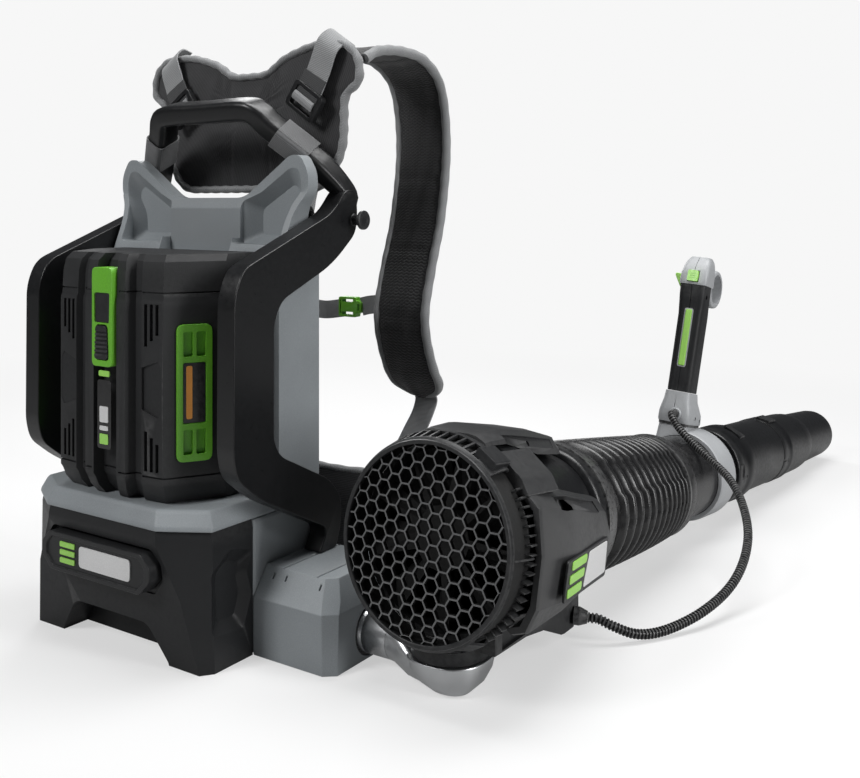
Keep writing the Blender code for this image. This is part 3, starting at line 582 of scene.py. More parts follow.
LOOKS = {
    "black": plastic("black_plastic", SOFT_BLACK, 0.46, Specular_IOR_Level=0.3),
    "satin": plastic("satin_black_plastic", BLACK, 0.33, grain=1100, depth=0.00003, edge=0.2, Specular_IOR_Level=0.42),
    "battery": plastic("battery_plastic", (0.017, 0.0175, 0.0185), 0.55, grain=900, depth=0.00012, edge=0.4,
            mottle=0.16, Specular_IOR_Level=0.3),
    "dark": plastic("dark_plastic", (0.014, 0.0145, 0.0155), 0.4, edge=0.3, Specular_IOR_Level=0.3),
    "grey": plastic("grey_plastic", GREY, 0.5, grain=1600, depth=0.00005, edge=0.4, mottle=0.05),
    "light_grey": plastic("light_grey_plastic", (0.34, 0.35, 0.36), 0.42, edge=0.4, mottle=0.05),
    "green": plastic("green_plastic", GREEN, 0.36, grain=1200, depth=0.00003, edge=0.4, mottle=0.06),
    "lime": plastic("lime_plastic", LIME, 0.34, grain=1200, depth=0.00003, edge=0.3, mottle=0.05),
    "honeycomb": grille_plastic(),
    "deep": plastic("shaded_black_plastic", (0.006, 0.006, 0.006), 0.8, edge=0.0),
    # The cover plastic's colour is lifted above the other blacks: a painted highlight for the cover's lighter look.
    "panel": plastic("cover_plastic", (0.032, 0.0325, 0.0335), 0.36, grain=1300, edge=0.6, Specular_IOR_Level=0.3),
    "gloss": plastic("gloss_black_plastic", (0.006, 0.006, 0.0065), 0.22, depth=0.00002, edge=0.2),
    "pale_label": plastic("pale_print", (0.62, 0.62, 0.62), 0.45, edge=0.1, mottle=0.03),
    # The high edge values paint the bellows' ridge crests and the conduit's ribs lighter: painted highlight.
    "rubber": plastic("bellows_rubber", (0.009, 0.009, 0.0095), 0.3, grain=600, depth=0.00001, edge=0.7, mottle=0.03),
    "conduit": plastic("cable_conduit", (0.010, 0.010, 0.0105), 0.3, grain=900, depth=0.00003, edge=1.2,
            Specular_IOR_Level=0.3),
    "board": plastic("circuit_board", (0.01, 0.1, 0.03), 0.4, edge=0.1),
    "aluminium": metal("satin_aluminium", (0.60, 0.61, 0.62), 0.3, (1, 8, 8)),
    "cast": metal("cast_aluminium", (0.56, 0.57, 0.58), 0.36, (1, 1, 1), 1100),
    "steel": metal("motor_steel", (0.4, 0.4, 0.41), 0.35, (1, 1, 6)),
    "orange": plastic("orange_print", (0.92, 0.36, 0.06), 0.45, edge=0.1),
    "webbing": webbing_look("webbing_tape", (0.27, 0.275, 0.28)),
    "wrap": webbing_look("wrap_tape", (0.14, 0.142, 0.145)),
    "dark_webbing": webbing_look("dark_webbing_tape", (0.05, 0.051, 0.053)),
    "mesh": mesh_cloth("spacer_mesh", (0.02, 0.02, 0.021)),
    "yoke": woven("yoke_cloth", (0.04, 0.04, 0.042), 0.0021, 0.35),
    "binding": woven("grey_binding", (0.25, 0.255, 0.26), 0.0012, 0.5, 0.5, sheen=0.4),
    "satin_cloth": woven("satin_pad_cloth", (0.016, 0.016, 0.017), 0.001, 0.7, 0.7, sheen=0.5, rough=0.6),
}

NODES_BY_LOOK = {
    "black": "base_cover back_plate swivel_post mount_bracket grip",
    "dark": "base_badge battery_socket arm_bush storage_peg load_lifter_buckle_right load_lifter_buckle_left "
            "latch_button inlet_grille inlet_ring top_cover side_cover",
    "grey": "base_housing battery_platform pivot_housing main_shell",
    "board": "controller_board",
    "satin": "guard_right guard_left carry_handle fan_housing control_tube nozzle_tube nozzle_tip",
    "green": "chest_buckle battery_vent_right battery_vent_left battery_latch",
    "battery": "battery_case",
    "aluminium": "arm_tube",
    "cast": "arm_cup",
    "deep": "motor stator_vanes fan_rotor",
    "rubber": "cable_gland bellows bellows_collar",
    "conduit": "control_cable",
    "steel": "motor_shaft",
    "light_grey": "handle_clamp handle_bracket handle_head",
    "lime": "grip_insert trigger cruise_lever boost_button",
    "yoke": "harness_yoke waist_belt",
    "mesh": "back_pad shoulder_strap_right shoulder_strap_left",
    "webbing": "lower_webbing_right lower_webbing_left chest_webbing_right chest_webbing_left",
}
NODE_LOOKS = {node: look for look, nodes in NODES_BY_LOOK.items() for node in nodes.split()}
BODY_OF = {node: body for body, nodes in frame["record"]["behaviour"]["bodies"].items() for node in nodes}


def dress_nodes():
    """Gives every CAD node that still shows its procedural material."""
    for name, obj in frame["nodes"].items():
        if obj.hide_render:
            continue
        obj.data.materials.clear()
        obj.data.materials.append(LOOKS[NODE_LOOKS[name]])
        obj.data.shade_smooth()
        obj.data.set_sharp_from_angle(angle=math.radians(35))


# ---------------------------------------------------------------- camera, floor and light


LENS_MM, SENSOR_MM, FRAME_SHIFT = 43.83, 36, -0.2163
EYE, GAZE = (0.7418, -0.700, 0.390), (-0.555, 0.832, 0)
BACKDROP = (0.93, 0.93, 0.93, 1)
DIM_SKY, DIM_STRENGTH = (0.93, 0.95, 1.0, 1), 0.07
FLOOR_HALF = 6


def camera():
    data = bpy.data.cameras.new("camera")
    data.lens = LENS_MM
    data.sensor_width = SENSOR_MM
    data.shift_y = FRAME_SHIFT
    data.clip_start = 0.01
    obj = bpy.data.objects.new("camera", data)
    bpy.context.scene.collection.objects.link(obj)
    obj.location = EYE
    obj.rotation_euler = Vector(GAZE).to_track_quat("-Z", "Y").to_euler()
    bpy.context.scene.camera = obj


def area_light(name, place_at, aim, size, energy):
    data = bpy.data.lights.new(name, "AREA")
    data.shape = "RECTANGLE"
    data.size, data.size_y = size
    data.energy = energy
    obj = bpy.data.objects.new(name, data)
    bpy.context.scene.collection.objects.link(obj)
    obj.location = place_at
    obj.rotation_euler = (Vector(aim) - Vector(place_at)).to_track_quat("-Z", "Y").to_euler()


def studio():
    world = bpy.data.worlds.new("studio")
    bpy.context.scene.world = world
    world.use_nodes = True
    tree = world.node_tree
    back = tree.nodes["Background"]
    back.inputs["Color"].default_value = BACKDROP
    back.inputs["Strength"].default_value = 1.0
    dim = tree.nodes.new("ShaderNodeBackground")
    dim.inputs["Color"].default_value = DIM_SKY
    dim.inputs["Strength"].default_value = DIM_STRENGTH
    choose = tree.nodes.new("ShaderNodeMixShader")
    tree.links.new(tree.nodes.new("ShaderNodeLightPath").outputs["Is Camera Ray"], choose.inputs[0])
    tree.links.new(dim.outputs[0], choose.inputs[1])
    tree.links.new(back.outputs[0], choose.inputs[2])
    tree.links.new(choose.outputs[0], tree.nodes["World Output"].inputs["Surface"])
    area_light("key", (-0.6, -1.7, 1.7), (0.1, 0.2, 0.2), (0.7, 0.7), 30)
    area_light("side", (2.1, 0.1, 0.9), (0.2, 0.3, 0.2), (0.35, 1.5), 26)
    area_light("top", (0.3, 0.5, 2.0), (0.1, 0.3, 0.0), (0.7, 1.8), 38)
    area_light("rim", (-1.2, 1.4, 1.3), (0.1, 0.2, 0.3), (0.5, 1.6), 16)
    floor = plain_object("floor", loft([[Vector((x * FLOOR_HALF, y * FLOOR_HALF, z)) for x,
            y in ((-1, -1), (1, -1), (1, 1), (-1, 1))]
                                        for z in (-0.02, -0.0002)]))
    look = Look("pale_floor", (0.8, 0.8, 0.8), 0.9)
    at = look.coordinates()
    look.colour(look.mix(look.spread(look.noise(at, 3, 2), 0, 1), (0.79, 0.79, 0.79), (0.82, 0.82, 0.82)))
    glow = look.node("Emission")
    glow.inputs["Color"].default_value = BACKDROP
    seen = look.node("LightPath").outputs["Is Camera Ray"]
    look.link(look.spread(seen, 0.25, 1.0), glow.inputs["Strength"])
    far = look.node("VectorMath", operation="LENGTH")
    look.link(at, far.inputs[0])
    reach = look.spread(far.outputs["Value"], 0.55, 1.0, 0.75, 1.9, smooth=True)
    pick = look.node("MixShader")
    look.link(reach, pick.inputs[0])
    look.link(look.shader.outputs[0], pick.inputs[1])
    look.link(glow.outputs[0], pick.inputs[2])
    look.link(pick.outputs[0], look.tree.nodes["Material Output"].inputs["Surface"])
    floor.data.materials.append(look.material)
    bpy.context.scene.view_settings.view_transform = "Standard"


# ---------------------------------------------------------------- the control cable

CABLE_ROUTE = [
    (342.64, 151.3, 22.07),
    (347, 152.85, 21.8),
    (352, 154.8, 21.2),
    (363, 160.5, 15.5),
    (377, 173, 8),
    (390, 190, 5.8),
    (403, 213, 8),
    (416, 241, 14),
    (425, 276, 22),
    (429, 306, 33),
    (426, 341, 46),
    (417, 373, 60),
    (399, 408, 76),
    (379, 431, 90),
    (354, 448, 102),
    (329, 461, 115),
    (309, 470, 128),
    (297.5, 477.5, 139),
    (294.45, 484.6, 141.95),
    (294.25, 494.4, 139.89),
]

CABLE_RIB, CABLE_GROOVE, CABLE_STEP = 4.5, 3.3, 0.85


def control_cable():
    """Ribbed conduit from the bracket under the duct to the foot of the handle."""
    path = evenly(curve_through(mm(CABLE_ROUTE), 6), CABLE_STEP * MM)
    up = Vector((0.2, 0.1, 1)).normalized()
    rings = []
    for i, (here, wide, deep, _) in enumerate(frames_on(path, up)):
        radius = (CABLE_RIB, CABLE_RIB, CABLE_GROOVE, CABLE_GROOVE)[i % 4] * MM
        rings.append(ring_at(here, wide, deep, round_section(radius, steps=14)))
    cable = piece("cable_conduit", loft(rings), None, "conduit", replaces=("control_cable",), ride=False, angle=34)
    sparse = path[::8] + [path[-1]]
    length = length_of(path)
    tuple(path[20])
    tuple(path[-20])
    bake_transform(cable)
    tuple(path[0])
    [tuple(p) for p in sparse]


# ---------------------------------------------------------------- blower


def inlet_grille():
    """Domed honeycomb over the fan's inlet."""
    pitch, bar, reach = 12.1 * MM, 1.35 * MM, 77 * MM
    outer = pitch / math.sqrt(3)
    inner = outer - bar / math.sqrt(3)
    bm = bmesh.new()
    corners = {}

    def corner(x, y, limit):
        far = math.hypot(x, y)
        if far > limit:
            x, y = x * limit / far, y * limit / far
        key = (round(x * 1e5), round(y * 1e5))
        if key not in corners:
            depth = -2.6 * MM * (1 - (x * x + y * y) / reach**2) - 1.0 * MM
            corners[key] = bm.verts.new((x, y, depth))
        return corners[key]

    for column in range(-10, 11):
        for row in range(-10, 11):
            x = column * outer * 1.5
            y = (row + 0.5 * (column % 2)) * pitch
            if math.hypot(x, y) > reach - 0.15 * outer:
                continue
            turns = [k * math.pi / 3 for k in range(6)]
            rim = [corner(x + outer * math.cos(t), y + outer * math.sin(t), reach) for t in turns]
            hole = [corner(x + inner * math.cos(t), y + inner * math.sin(t), reach - bar) for t in turns]
            for i in range(6):
                face = [rim[i], rim[(i + 1) % 6], hole[(i + 1) % 6], hole[i]]
                if len(set(face)) == 4:
                    bm.faces.new(face)
    obj = plain_object("inlet_honeycomb", bm, FAN)
    step = obj.modifiers.new("depth", "SOLIDIFY")
    step.thickness = 3.6 * MM
    step.offset = -1
    apply_modifiers(obj)
    finish_piece(obj, "blower", "honeycomb", replaces=("inlet_grille",))
    rim = mm([(75.4, -1), (75.6, -2.4), (77, -3.1), (78.6, -2.8), (79.2, -1.4), (79.2, 2), (76, 3.5), (75.4, 3)])
    piece("inlet_lip", turned(rim, 120), "blower", "dark", FAN, angle=50)


def inlet_ring():
    """Band of cooling slots round the inlet, with its inner sleeve and rear collar."""
    slots = 62
    bm = bmesh.new()
    rows = [(-0.5, 79.3), (0.6, 80.4), (2.0, 81.4), (16.5, 85.1), (18.5, 85.6), (23, 85.2), (26, 82.6)]
    turns = []
    for k in range(slots):
        turns += [(k + f) / slots * 2 * math.pi for f in (0.0, 0.11, 0.5, 0.89)]
    grid = [[bm.verts.new((r * MM * math.cos(t), r * MM * math.sin(t), s * MM)) for t in turns] for s, r in rows]
    for i, (s, _) in enumerate(rows[:-1]):
        for k in range(len(turns)):
            j = (k + 1) % len(turns)
            degrees = math.degrees((turns[k] + turns[j]) / 2) % 360
            solid = k % 4 in (0, 3) or not 2 <= i < 3
            if 303 < degrees < 312 or 56 < degrees < 64:
                solid = True
            if (degrees > 312 or degrees < 56) and i > 0:
                solid = False
            if solid:
                bm.faces.new((grid[i][k], grid[i][j], grid[i + 1][j], grid[i + 1][k]))
    obj = plain_object("inlet_slot_band", bm, FAN)
    step = obj.modifiers.new("wall", "SOLIDIFY")
    step.thickness = 2.0 * MM
    step.offset = -1
    apply_modifiers(obj)
    finish_piece(obj, "blower", "dark", replaces=("inlet_ring",), angle=40)
    sleeve = mm(rect(77, 3, 78.6, 26))
    piece("inlet_sleeve", turned(sleeve, 96), "blower", "deep", FAN)


def duct():
    """Smooth duct with a joint ring before the bellows."""
    outer = [(77, 26.4), (79, 30), (79, 78), (75, 92), (63, 120), (59, 140), (57.5, 180), (57.5, 184), (61, 185)]
    outer += [(63.4, 187), (64.2, 191), (64.2, 198), (60, 198.6)]
    inner = [(52, 198.6), (52, 140), (57, 120), (68, 92), (73, 78), (73, 26.4)]
    piece("duct_shell", turned(mm(outer + inner), 96), "blower", "satin", FAN, replaces=("fan_housing",), angle=40)


def bellows():
    """Ribbed sleeve with moulding steps down its sides. It bends between the duct and the tube."""
    start = INLET + FAN_AXIS * 198.4 * MM
    end = BEND + TUBE_AXIS * 66 * MM
    ribs, steps = 12, 96
    profile = [(0.0, 0.0, 0), (0.055, -0.4, 0), (0.085, -3.6, 0)]
    for k in range(ribs):
        base = 0.10 + 0.84 * k / ribs
        wide = 0.84 / ribs
        for share, drop, low in ((0.0, -6, 1), (0.26, -6, 1), (0.42, -1.6, 1), (0.5, -0.2, 2), (0.6, 0, 2),
                                 (0.7, -0.4, 2), (0.78, -2.2, 1), (0.96, -6, 1)):
            profile.append((base + wide * share, drop, low))
    profile += [(0.955, -3, 0), (0.97, 0, 0), (1.0, 0, 0)]
    inside = [(t, -9, 0) for t in (1.0, 0.8, 0.6, 0.4, 0.2, 0.0)]
    rings = []
    for t, drop, kind in profile + inside:
        here = start * (1 - t) ** 2 + BEND * 2 * t * (1 - t) + end * t * t
        axis = (FAN_AXIS * (1 - t) + TUBE_AXIS * t).normalized()
        at = frame_along(here, axis)
        ring = []
        for k in range(steps):
            turn = 2 * math.pi * k / steps
            degrees = (math.degrees(turn) + 180) % 360 - 180
            radius = 66 - 8.6 * t**1.25 + drop
            shift = 0.0
            if kind:
                side = -52 < degrees < -20 or 160 > degrees > 128
                radius -= (1.5 if kind == 2 else 0.5) if side else 0
                shift = 1.4 if -20 <= degrees < 4 else 0.0
            ring.append(at @ Vector((radius * MM * math.cos(turn), radius * MM * math.sin(turn), shift * MM)))
        rings.append(ring)
    sleeve = piece("bellows_sleeve", loft(rings, closed=True), None, "rubber", replaces=("bellows",), ride=False,
            angle=48)
    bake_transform(sleeve)


def tube_pieces():
    """Collar, control tube, nozzle tube with bayonet ring, and tip."""
    collar = [(56.8, 66.3), (57.2, 68), (57.2, 80), (56, 83), (53, 84.5), (47.8, 84.5), (47.8, 66.3)]
    piece("bellows_cuff", turned(mm(collar), 80), "tube", "rubber", TUBE, replaces=("bellows_collar",), angle=50)
    tube = [(47.2, 66.6), (47.2, 188), (46.4, 206), (44.8, 222), (43.4, 228), (43.4, 296), (40, 296), (40, 228)]
    tube += [(43, 190), (43, 66.6)]
    piece("control_tube_body", turned(mm(tube), 80), "tube", "gloss", TUBE, replaces=("control_tube",), angle=50)
    nozzle = [(46.4, 229), (47.6, 230.5), (47.6, 244), (46.4, 246), (46.4, 262), (47.6, 264), (47.6, 281)]
    nozzle += [(46.2, 284), (46.2, 292), (45.0, 296), (43.4, 299), (42.8, 396), (39.2, 398), (39.2, 424)]
    nozzle += [(36.4, 424), (36.4, 398), (39.8, 394), (39.8, 296.6), (44, 296.6), (44, 229)]
    tube_obj = plain_object("nozzle_tube_body", turned(mm(nozzle), 80), TUBE)
    for turn in (0, math.pi):
        spin = TUBE @ Matrix.Rotation(turn, 4, "Z")
        cut(tube_obj, brick((46.6, -9, 233), (52, 9, 243)), spin)
        cut(tube_obj, brick((45.4, 5, 243), (52, 9, 258)), spin)
    for turn in (-1.1, 2.0):
        spin = TUBE @ Matrix.Rotation(turn, 4, "Z")
        join(tube_obj, brick((42, -12, 266), (49.4, 12, 279)), spin)
    finish_piece(tube_obj, "nozzle", "satin", replaces=("nozzle_tube",), angle=40)
    tip = [(41.5, 398.4), (43.2, 399.4), (43.6, 402), (43.6, 409), (42.6, 411), (42.6, 424), (43.4, 426)]
    tip += [(43.4, 432), (42, 436), (40.8, 500), (39.6, 515), (37.4, 526), (36.6, 532), (34, 628), (33, 637)]
    tip += [(31.2, 642), (29.6, 641), (30.2, 628), (35, 528), (37.4, 500), (37.8, 424.4), (39.8, 424.4), (39.8, 398.4)]
    tip_obj = plain_object("nozzle_tip_body", turned(mm(tip), 80), TUBE)
    for turn in (0.15, math.pi + 0.15):
        spin = TUBE @ Matrix.Rotation(turn, 4, "Z")
        cut(tip_obj, brick((42.2, -1.6, 398), (48, 1.6, 418)), spin)
        cut(tip_obj, brick((42.2, -1.6, 414.5), (48, 16, 418)), spin)
    for turn in (-1.35, 1.8):
        spin = TUBE @ Matrix.Rotation(turn, 4, "Z")
        join(tip_obj, brick((38, -9, 403), (45.6, 9, 428)), spin)
    finish_piece(tip_obj, "tip", "satin", replaces=("nozzle_tip",), angle=40)


def duct_core(start):
    """The room that the duct takes, from start along its axis: what a cover leaves free."""
    return turned(mm([(0, start), (79.4, start), (79.4, 79), (75.4, 92), (63.4, 120), (59.4, 141), (59.4, 230),
            (0, 230)]), 72)


def sunk(facet, out, depth):
    """A cutter for a recess in a sloping facet, and the facet's middle."""
    middle = sum((Vector(p) for p in facet), Vector()) / 4 * MM
    return loft([[middle + (Vector(p) * MM - middle) * 0.9 + out * d for p in facet] for d in (-depth * MM,
            12 * MM)]), middle


def side_cover():
    """Faceted cover on the duct's outer side: raised front edge, chamfered top with a recess, and a plain badge."""
    rows = [
        (28, [(64, -50), (72, -46), (83.4, -36), (88.4, -2), (86.0, 38), (78, 56), (66, 60)]),
        (32, [(65, -50.5), (73, -46.5), (84.4, -36.5), (89.6, -2), (87.0, 39), (79, 57), (67, 61)]),
        (96, [(62, -42), (70, -39), (80.4, -29), (86.4, 0), (84.6, 40), (74, 53), (60, 55)]),
        (150, [(54, -32), (61, -29.5), (70.0, -19), (76.0, 4), (74.0, 40), (64, 47), (50, 48)]),
        (186, [(52, -26), (58, -23.5), (65.0, -15), (70.0, 6), (68.4, 36), (60, 41), (48, 42)]),
        (196, [(54, -19), (58, -17.5), (63.0, -11), (67.4, 6), (65.8, 30), (58, 34), (49, 35)]),
    ]
    sections = []
    for s, outline in rows:
        inner = [(x - 5, y * 0.94) for x, y in reversed(outline)]
        sections.append([Vector((x * MM, y * MM, s * MM)) for x, y in outline + inner])
    body = plain_object("side_panel", loft(sections), FAN)
    cut(body, duct_core(10), FAN)
    # Recess in the upper facet, then the slot under the badge.
    facet = [(72, -40, 62), (83, -29, 62), (68, -15, 176), (60, -24, 176)]
    cut(body, sunk(facet, Vector((0.70, -0.68, 0.13)).normalized(), 1.5)[0], FAN)
    slot = FAN @ Matrix.Translation(spot(79.5, 43.5, 132)) @ Matrix.Rotation(math.radians(-11), 4, "Y")
    cut(body, brick((-5, -3, -42), (12, 3, 45)), slot)
    finish_piece(body, "blower", "panel", replaces=("side_cover",), bevel=1.6 * MM, segments=3, angle=24)
    # Badge plate with three plain bars and a blank field.
    tilt = FAN @ Matrix.Translation(spot(79.0, 21, 138)) @ Matrix.Rotation(math.radians(-10.2), 4, "Y")
    tilt = tilt @ Matrix.Rotation(math.radians(2.4), 4, "Z")
    plate = eased([(-15, -76), (17, -80), (18, 44), (-16, 44)], 4, 3)
    piece("side_badge", slab(plate, "X", -1.2, 1.0), "blower", "dark", tilt, bevel=0.6 * MM)
    for k in range(3):
        low, high = (-13 + k * 10) * MM, (-6 + k * 10) * MM
        bar = eased([(low / MM, -66 - 4 * k), (high / MM, -67 - 4 * k), (high / MM, -26 - 5 * k),
                          (low / MM, -25 - 5 * k)], 2.8, 3)
        piece(f"side_badge_bar_{k}", slab(bar, "X", 0.6, 1.9), "blower", "lime", tilt,
              bevel=0.5 * MM)
    field = eased([(-13, -17), (14, -29), (14, 39), (-13, 39)], 3, 3)
    piece("side_badge_field", slab(field, "X", 0.6, 1.7), "blower", "pale_label", tilt,
          bevel=0.5 * MM)
    teeth = None
    for k in range(19):
        turn = math.radians(-36 + 4.9 * k)
        here = Matrix.Rotation(turn, 4, "Z")
        teeth = add_to(teeth, brick((78.4, -0.8, 19), (84.6, 0.8, 31)), here)
    piece("cooling_teeth", teeth, "blower", "dark", FAN, bevel=0.4 * MM, segments=1)


def top_cover():
    """Long wedge over the duct with a sunk side face and a screw hole."""
    rows = [(27, 34, 76, 84.5), (34, 35, 77, 86), (60, 35, 77, 88.5), (120, 30, 64, 84), (172, 23, 59.5, 75),
            (180, 21, 59.5, 70)]
    sections = []
    for s, wide, low, high in rows:
        ring = [(-wide, low), (wide, low), (wide * 0.96, low + (high - low) * 0.35), (wide * 0.70, high - 1),
                (wide * 0.5, high), (-wide * 0.5, high), (-wide * 0.70, high - 1),
                (-wide * 0.96, low + (high - low) * 0.35)]
        sections.append([Vector((x * MM, -y * MM, s * MM)) for x, y in ring])
    body = plain_object("top_fairing", loft(sections), FAN)
    cut(body, duct_core(10), FAN)
    side = [(31, -85, 50), (37.5, -74, 50), (26, -66, 168), (20, -74, 168)]
    out = Vector((0.86, -0.5, 0.1)).normalized()
    recess, middle = sunk(side, out, 3.0)
    cut(body, recess, FAN)
    hole = frame_along(middle, -out)
    cut(body, turned(mm(rect(0, -20, 2.6, 14)), 20), FAN @ hole)
    finish_piece(body, "blower", "panel", replaces=("top_cover",), bevel=1.4 * MM, segments=3, angle=24)


def motor_box():
    """Blocky boss between the top fairing and the side panel, and a screw boss on the slot band."""
    box = eased([(44, -75), (68, -57), (76, -44), (58, -44), (38, -62)], 3, 3)
    piece("duct_boss", slab(box, "Z", 26, 76), "blower", "panel", FAN, bevel=2.5 * MM, angle=24,
          cuts=[(turned(mm(rect(0, 10, 78, 90)), 60), FAN)])
    lid = eased([(41, -79), (58, -68), (52, -60), (36, -70)], 2, 3)
    piece("slot_band_boss", slab(lid, "Z", 4, 27), "blower", "dark", FAN, bevel=1.6 * MM, angle=24)


def mount_bracket():
    """Bracket under the duct, with a side step and the cable's hole."""
    side = [(9, 35), (60, 33.4), (92, 28), (124, 13), (130, 12), (148, 12), (158, 24), (158, 56), (9, 62)]
    body = plain_object("bracket_body", slab(mm(side), "X", 258, 330))
    cut(body, duct_core(27), FAN)
    cut(body, turned(mm(rect(0, -30, 86, 27.4)), 72), FAN)
    cut(body, brick((326.5, 20, 36), (330, 80, 50)))
    cut(body, turned(mm(rect(0, -20, 5.6, 20)), 32), frame_along(Vector((320, 160, 21.6)) * MM, Vector((0.5, 0.86,
            -0.1))))
    finish_piece(body, "blower", "black", replaces=("mount_bracket",), bevel=3 * MM, segments=3, angle=24)


# ---------------------------------------------------------------- harness


def strap_uv(path):
    """UV of a point beside a long path: across by x, along by the nearest point's distance."""
    walked = distances(path)

    def of_point(co, _):
        k = min(range(0, len(path), 2), key=lambda i: (path[i] - co).length_squared)
        along = (path[min(k + 1, len(path) - 1)] - path[max(k - 1, 0)]).normalized()
        return co.x, walked[k] + (co - path[k]).dot(along)

    return of_point


def strap_path(side):
    right = [(100, 101, 528), (98, 130, 540), (97, 175, 544), (96, 215, 538), (95, 246, 512), (95, 256, 450)]
    right += [(95, 245, 375), (95, 226, 318), (95, 214, 265), (95, 231, 212), (95, 258, 180)]
    left = [(100, 101, 512), (98, 130, 518), (97, 180, 514), (96, 226, 500), (95, 254, 468), (95, 262, 420)]
    left += [(95, 246, 362), (95, 222, 312), (95, 212, 265), (95, 226, 212), (95, 246, 180)]
    route = right if side > 0 else left
    return evenly(curve_through(to_side(side, route), 8), 3 * MM)


STRAP_HALF, STRAP_END = 31 * MM, 30 * MM


def strap_body(rows, total):
    """A padded band: puffed between its edges, pinched at the quilting seams, round at its lower end."""
    sections = []
    walked = 0.0
    before = rows[0][0]
    seams = (0.17 * total, 0.34 * total, 0.50 * total, 0.66 * total, 0.80 * total)
    for here, wide, deep, _ in rows:
        walked += (here - before).length
        before = here
        left = total - walked
        half = STRAP_HALF
        if left < STRAP_END:
            half *= math.sqrt(max(0.09, 1 - (1 - left / STRAP_END) ** 2))
        pinch = min(abs(walked - s) for s in seams)
        puff = 1 - 0.42 * math.exp(-((pinch / (5 * MM)) ** 2))
        puff *= 1 + 0.07 * math.sin(walked * 90) + 0.05 * math.sin(walked * 210 + 1)
        ring = []
        for k in range(16):
            t = -1 + 2 * k / 15
            crease = 0.5 * MM * math.sin(9 * t + walked * 60)
            ring.append((half * t, 2.6 * MM + 3.6 * MM * puff * (1 - abs(t) ** 2.6) + crease))
        for k in range(16):
            t = 1 - 2 * k / 15
            crease = 0.3 * MM * math.sin(7 * t + walked * 80)
            ring.append((half * t, -2.6 * MM - 2.6 * MM * (1 - abs(t) ** 3) - crease))
        sections.append(ring_at(here, wide, deep, ring))
    return loft(sections)


def strap_binding(rows, total):
    """Tape folded round both edges and the rounded lower end."""
    def edge(sign):
        walked, before, found = 0.0, rows[0][0], []
        for here, wide, deep, _ in rows:
            walked += (here - before).length
            before = here
            left = total - walked
            half = 30.6 * MM
            if left < STRAP_END:
                half *= math.sqrt(max(0.0, 1 - (1 - left / STRAP_END) ** 2))
            found.append((here + wide * sign * half, wide * sign, deep))
        return found

    one, two = edge(1), edge(-1)
    line = one + list(reversed(two))[1:]
    sections = []
    path = [p for p, _, _ in line]
    for i, (here, out, deep) in enumerate(line):
        ahead = (path[min(i + 1, len(path) - 1)] - path[max(i - 1, 0)]).normalized()
        side = ahead.cross(deep).normalized()
        if side.dot(out) < 0 and i < len(one) - 6:
            side = -side
        if i >= len(one) and side.dot(out) < 0 and i > len(one) + 6:
            side = -side
        if sections and (side - last).length > 1:
            side = -side
        last = side
        wave = 0.35 * MM * math.sin(i * 0.9)
        ring = round_section(4.6 * MM + wave * 0.4, 5.2 * MM + wave, 12)
        sections.append([here + side * a + deep * b for a, b in ring])
    return loft(sections)


def shoulder_straps():
    for side, word in ((1, "right"), (-1, "left")):
        path = strap_path(side)
        rows = frames_on(path, Vector((1, 0, 0)))
        total = length_of(path)
        strap = plain_object(f"strap_pad_{word}", strap_body(rows, total))
        uv_from(strap, strap_uv(path))
        finish_piece(strap, "frame", "mesh", (f"shoulder_strap_{word}",), angle=60)
        tape = plain_object(f"strap_binding_{word}", strap_binding(rows, total))
        uv_from(tape, strap_uv(path))
        finish_piece(tape, "frame", "binding", slot="webbing", angle=60)


def flat_band(name, route, width, thick, look="webbing", across=Vector((1, 0, 0)), replaces=(),
              waves=0.0, side=1):
    """Webbing tape along a route."""
    path = evenly(curve_through(to_side(side, route), 8), 2.2 * MM)
    rows = frames_on(path, across)
    sections = []
    half = width / 2
    for i, (here, wide, deep, _) in enumerate(rows):
        lift = waves * math.sin(i * 0.35)
        top = [(-half + width * k / 7, thick / 2 + lift * math.cos(k * 0.6)) for k in range(8)]
        low = [(half - width * k / 7, -thick / 2 + lift * math.cos((7 - k) * 0.6)) for k in range(8)]
        sections.append(ring_at(here, wide, deep, top + low))
    obj = plain_object(name, loft(sections))
    uv_from(obj, band_uv(path, rows))
    finish_piece(obj, "frame", look, replaces, slot="webbing", angle=50)
    length_of(path)


def band_uv(path, rows):
    walked = distances(path)

    def of_point(co, _):
        k = min(range(len(path)), key=lambda i: (path[i] - co).length_squared)
        off = co - rows[k][0]
        return off.dot(rows[k][1]), walked[k] + off.dot(rows[k][3])

    return of_point


def webbings():
    for side, word in ((1, "right"), (-1, "left")):
        reach = 262 if side > 0 else 250
        route = [(95, reach, 170), (97, reach - 27, 142), (100, 190, 114), (100, 140, 104), (98, 102, 101)]
        route = [(95, reach - 7, 184)] + route
        flat_band(f"lower_tape_{word}", route, 28 * MM, 1.8 * MM, replaces=(f"lower_webbing_{word}",), side=side,
                  waves=0.5 * MM)
    across = Vector((0, 0, 1))
    flat_band("chest_tape_right", [(62, 217.5, 280), (50, 218, 278.4), (39.5, 218, 276)], 20 * MM, 1.8 * MM,
              across=across, replaces=("chest_webbing_right",))
    flat_band("chest_tape_left", [(12, 218.5, 273), (-12, 217, 270), (-35, 214, 273), (-59, 211, 278)], 20 * MM,
              1.8 * MM, across=across, replaces=("chest_webbing_left",), waves=0.5 * MM)


YOKE_EDGE = [(96, 404), (120, 441), (121, 494), (140, 504), (138, 529), (121, 543), (84, 544), (45, 533), (24, 518)]


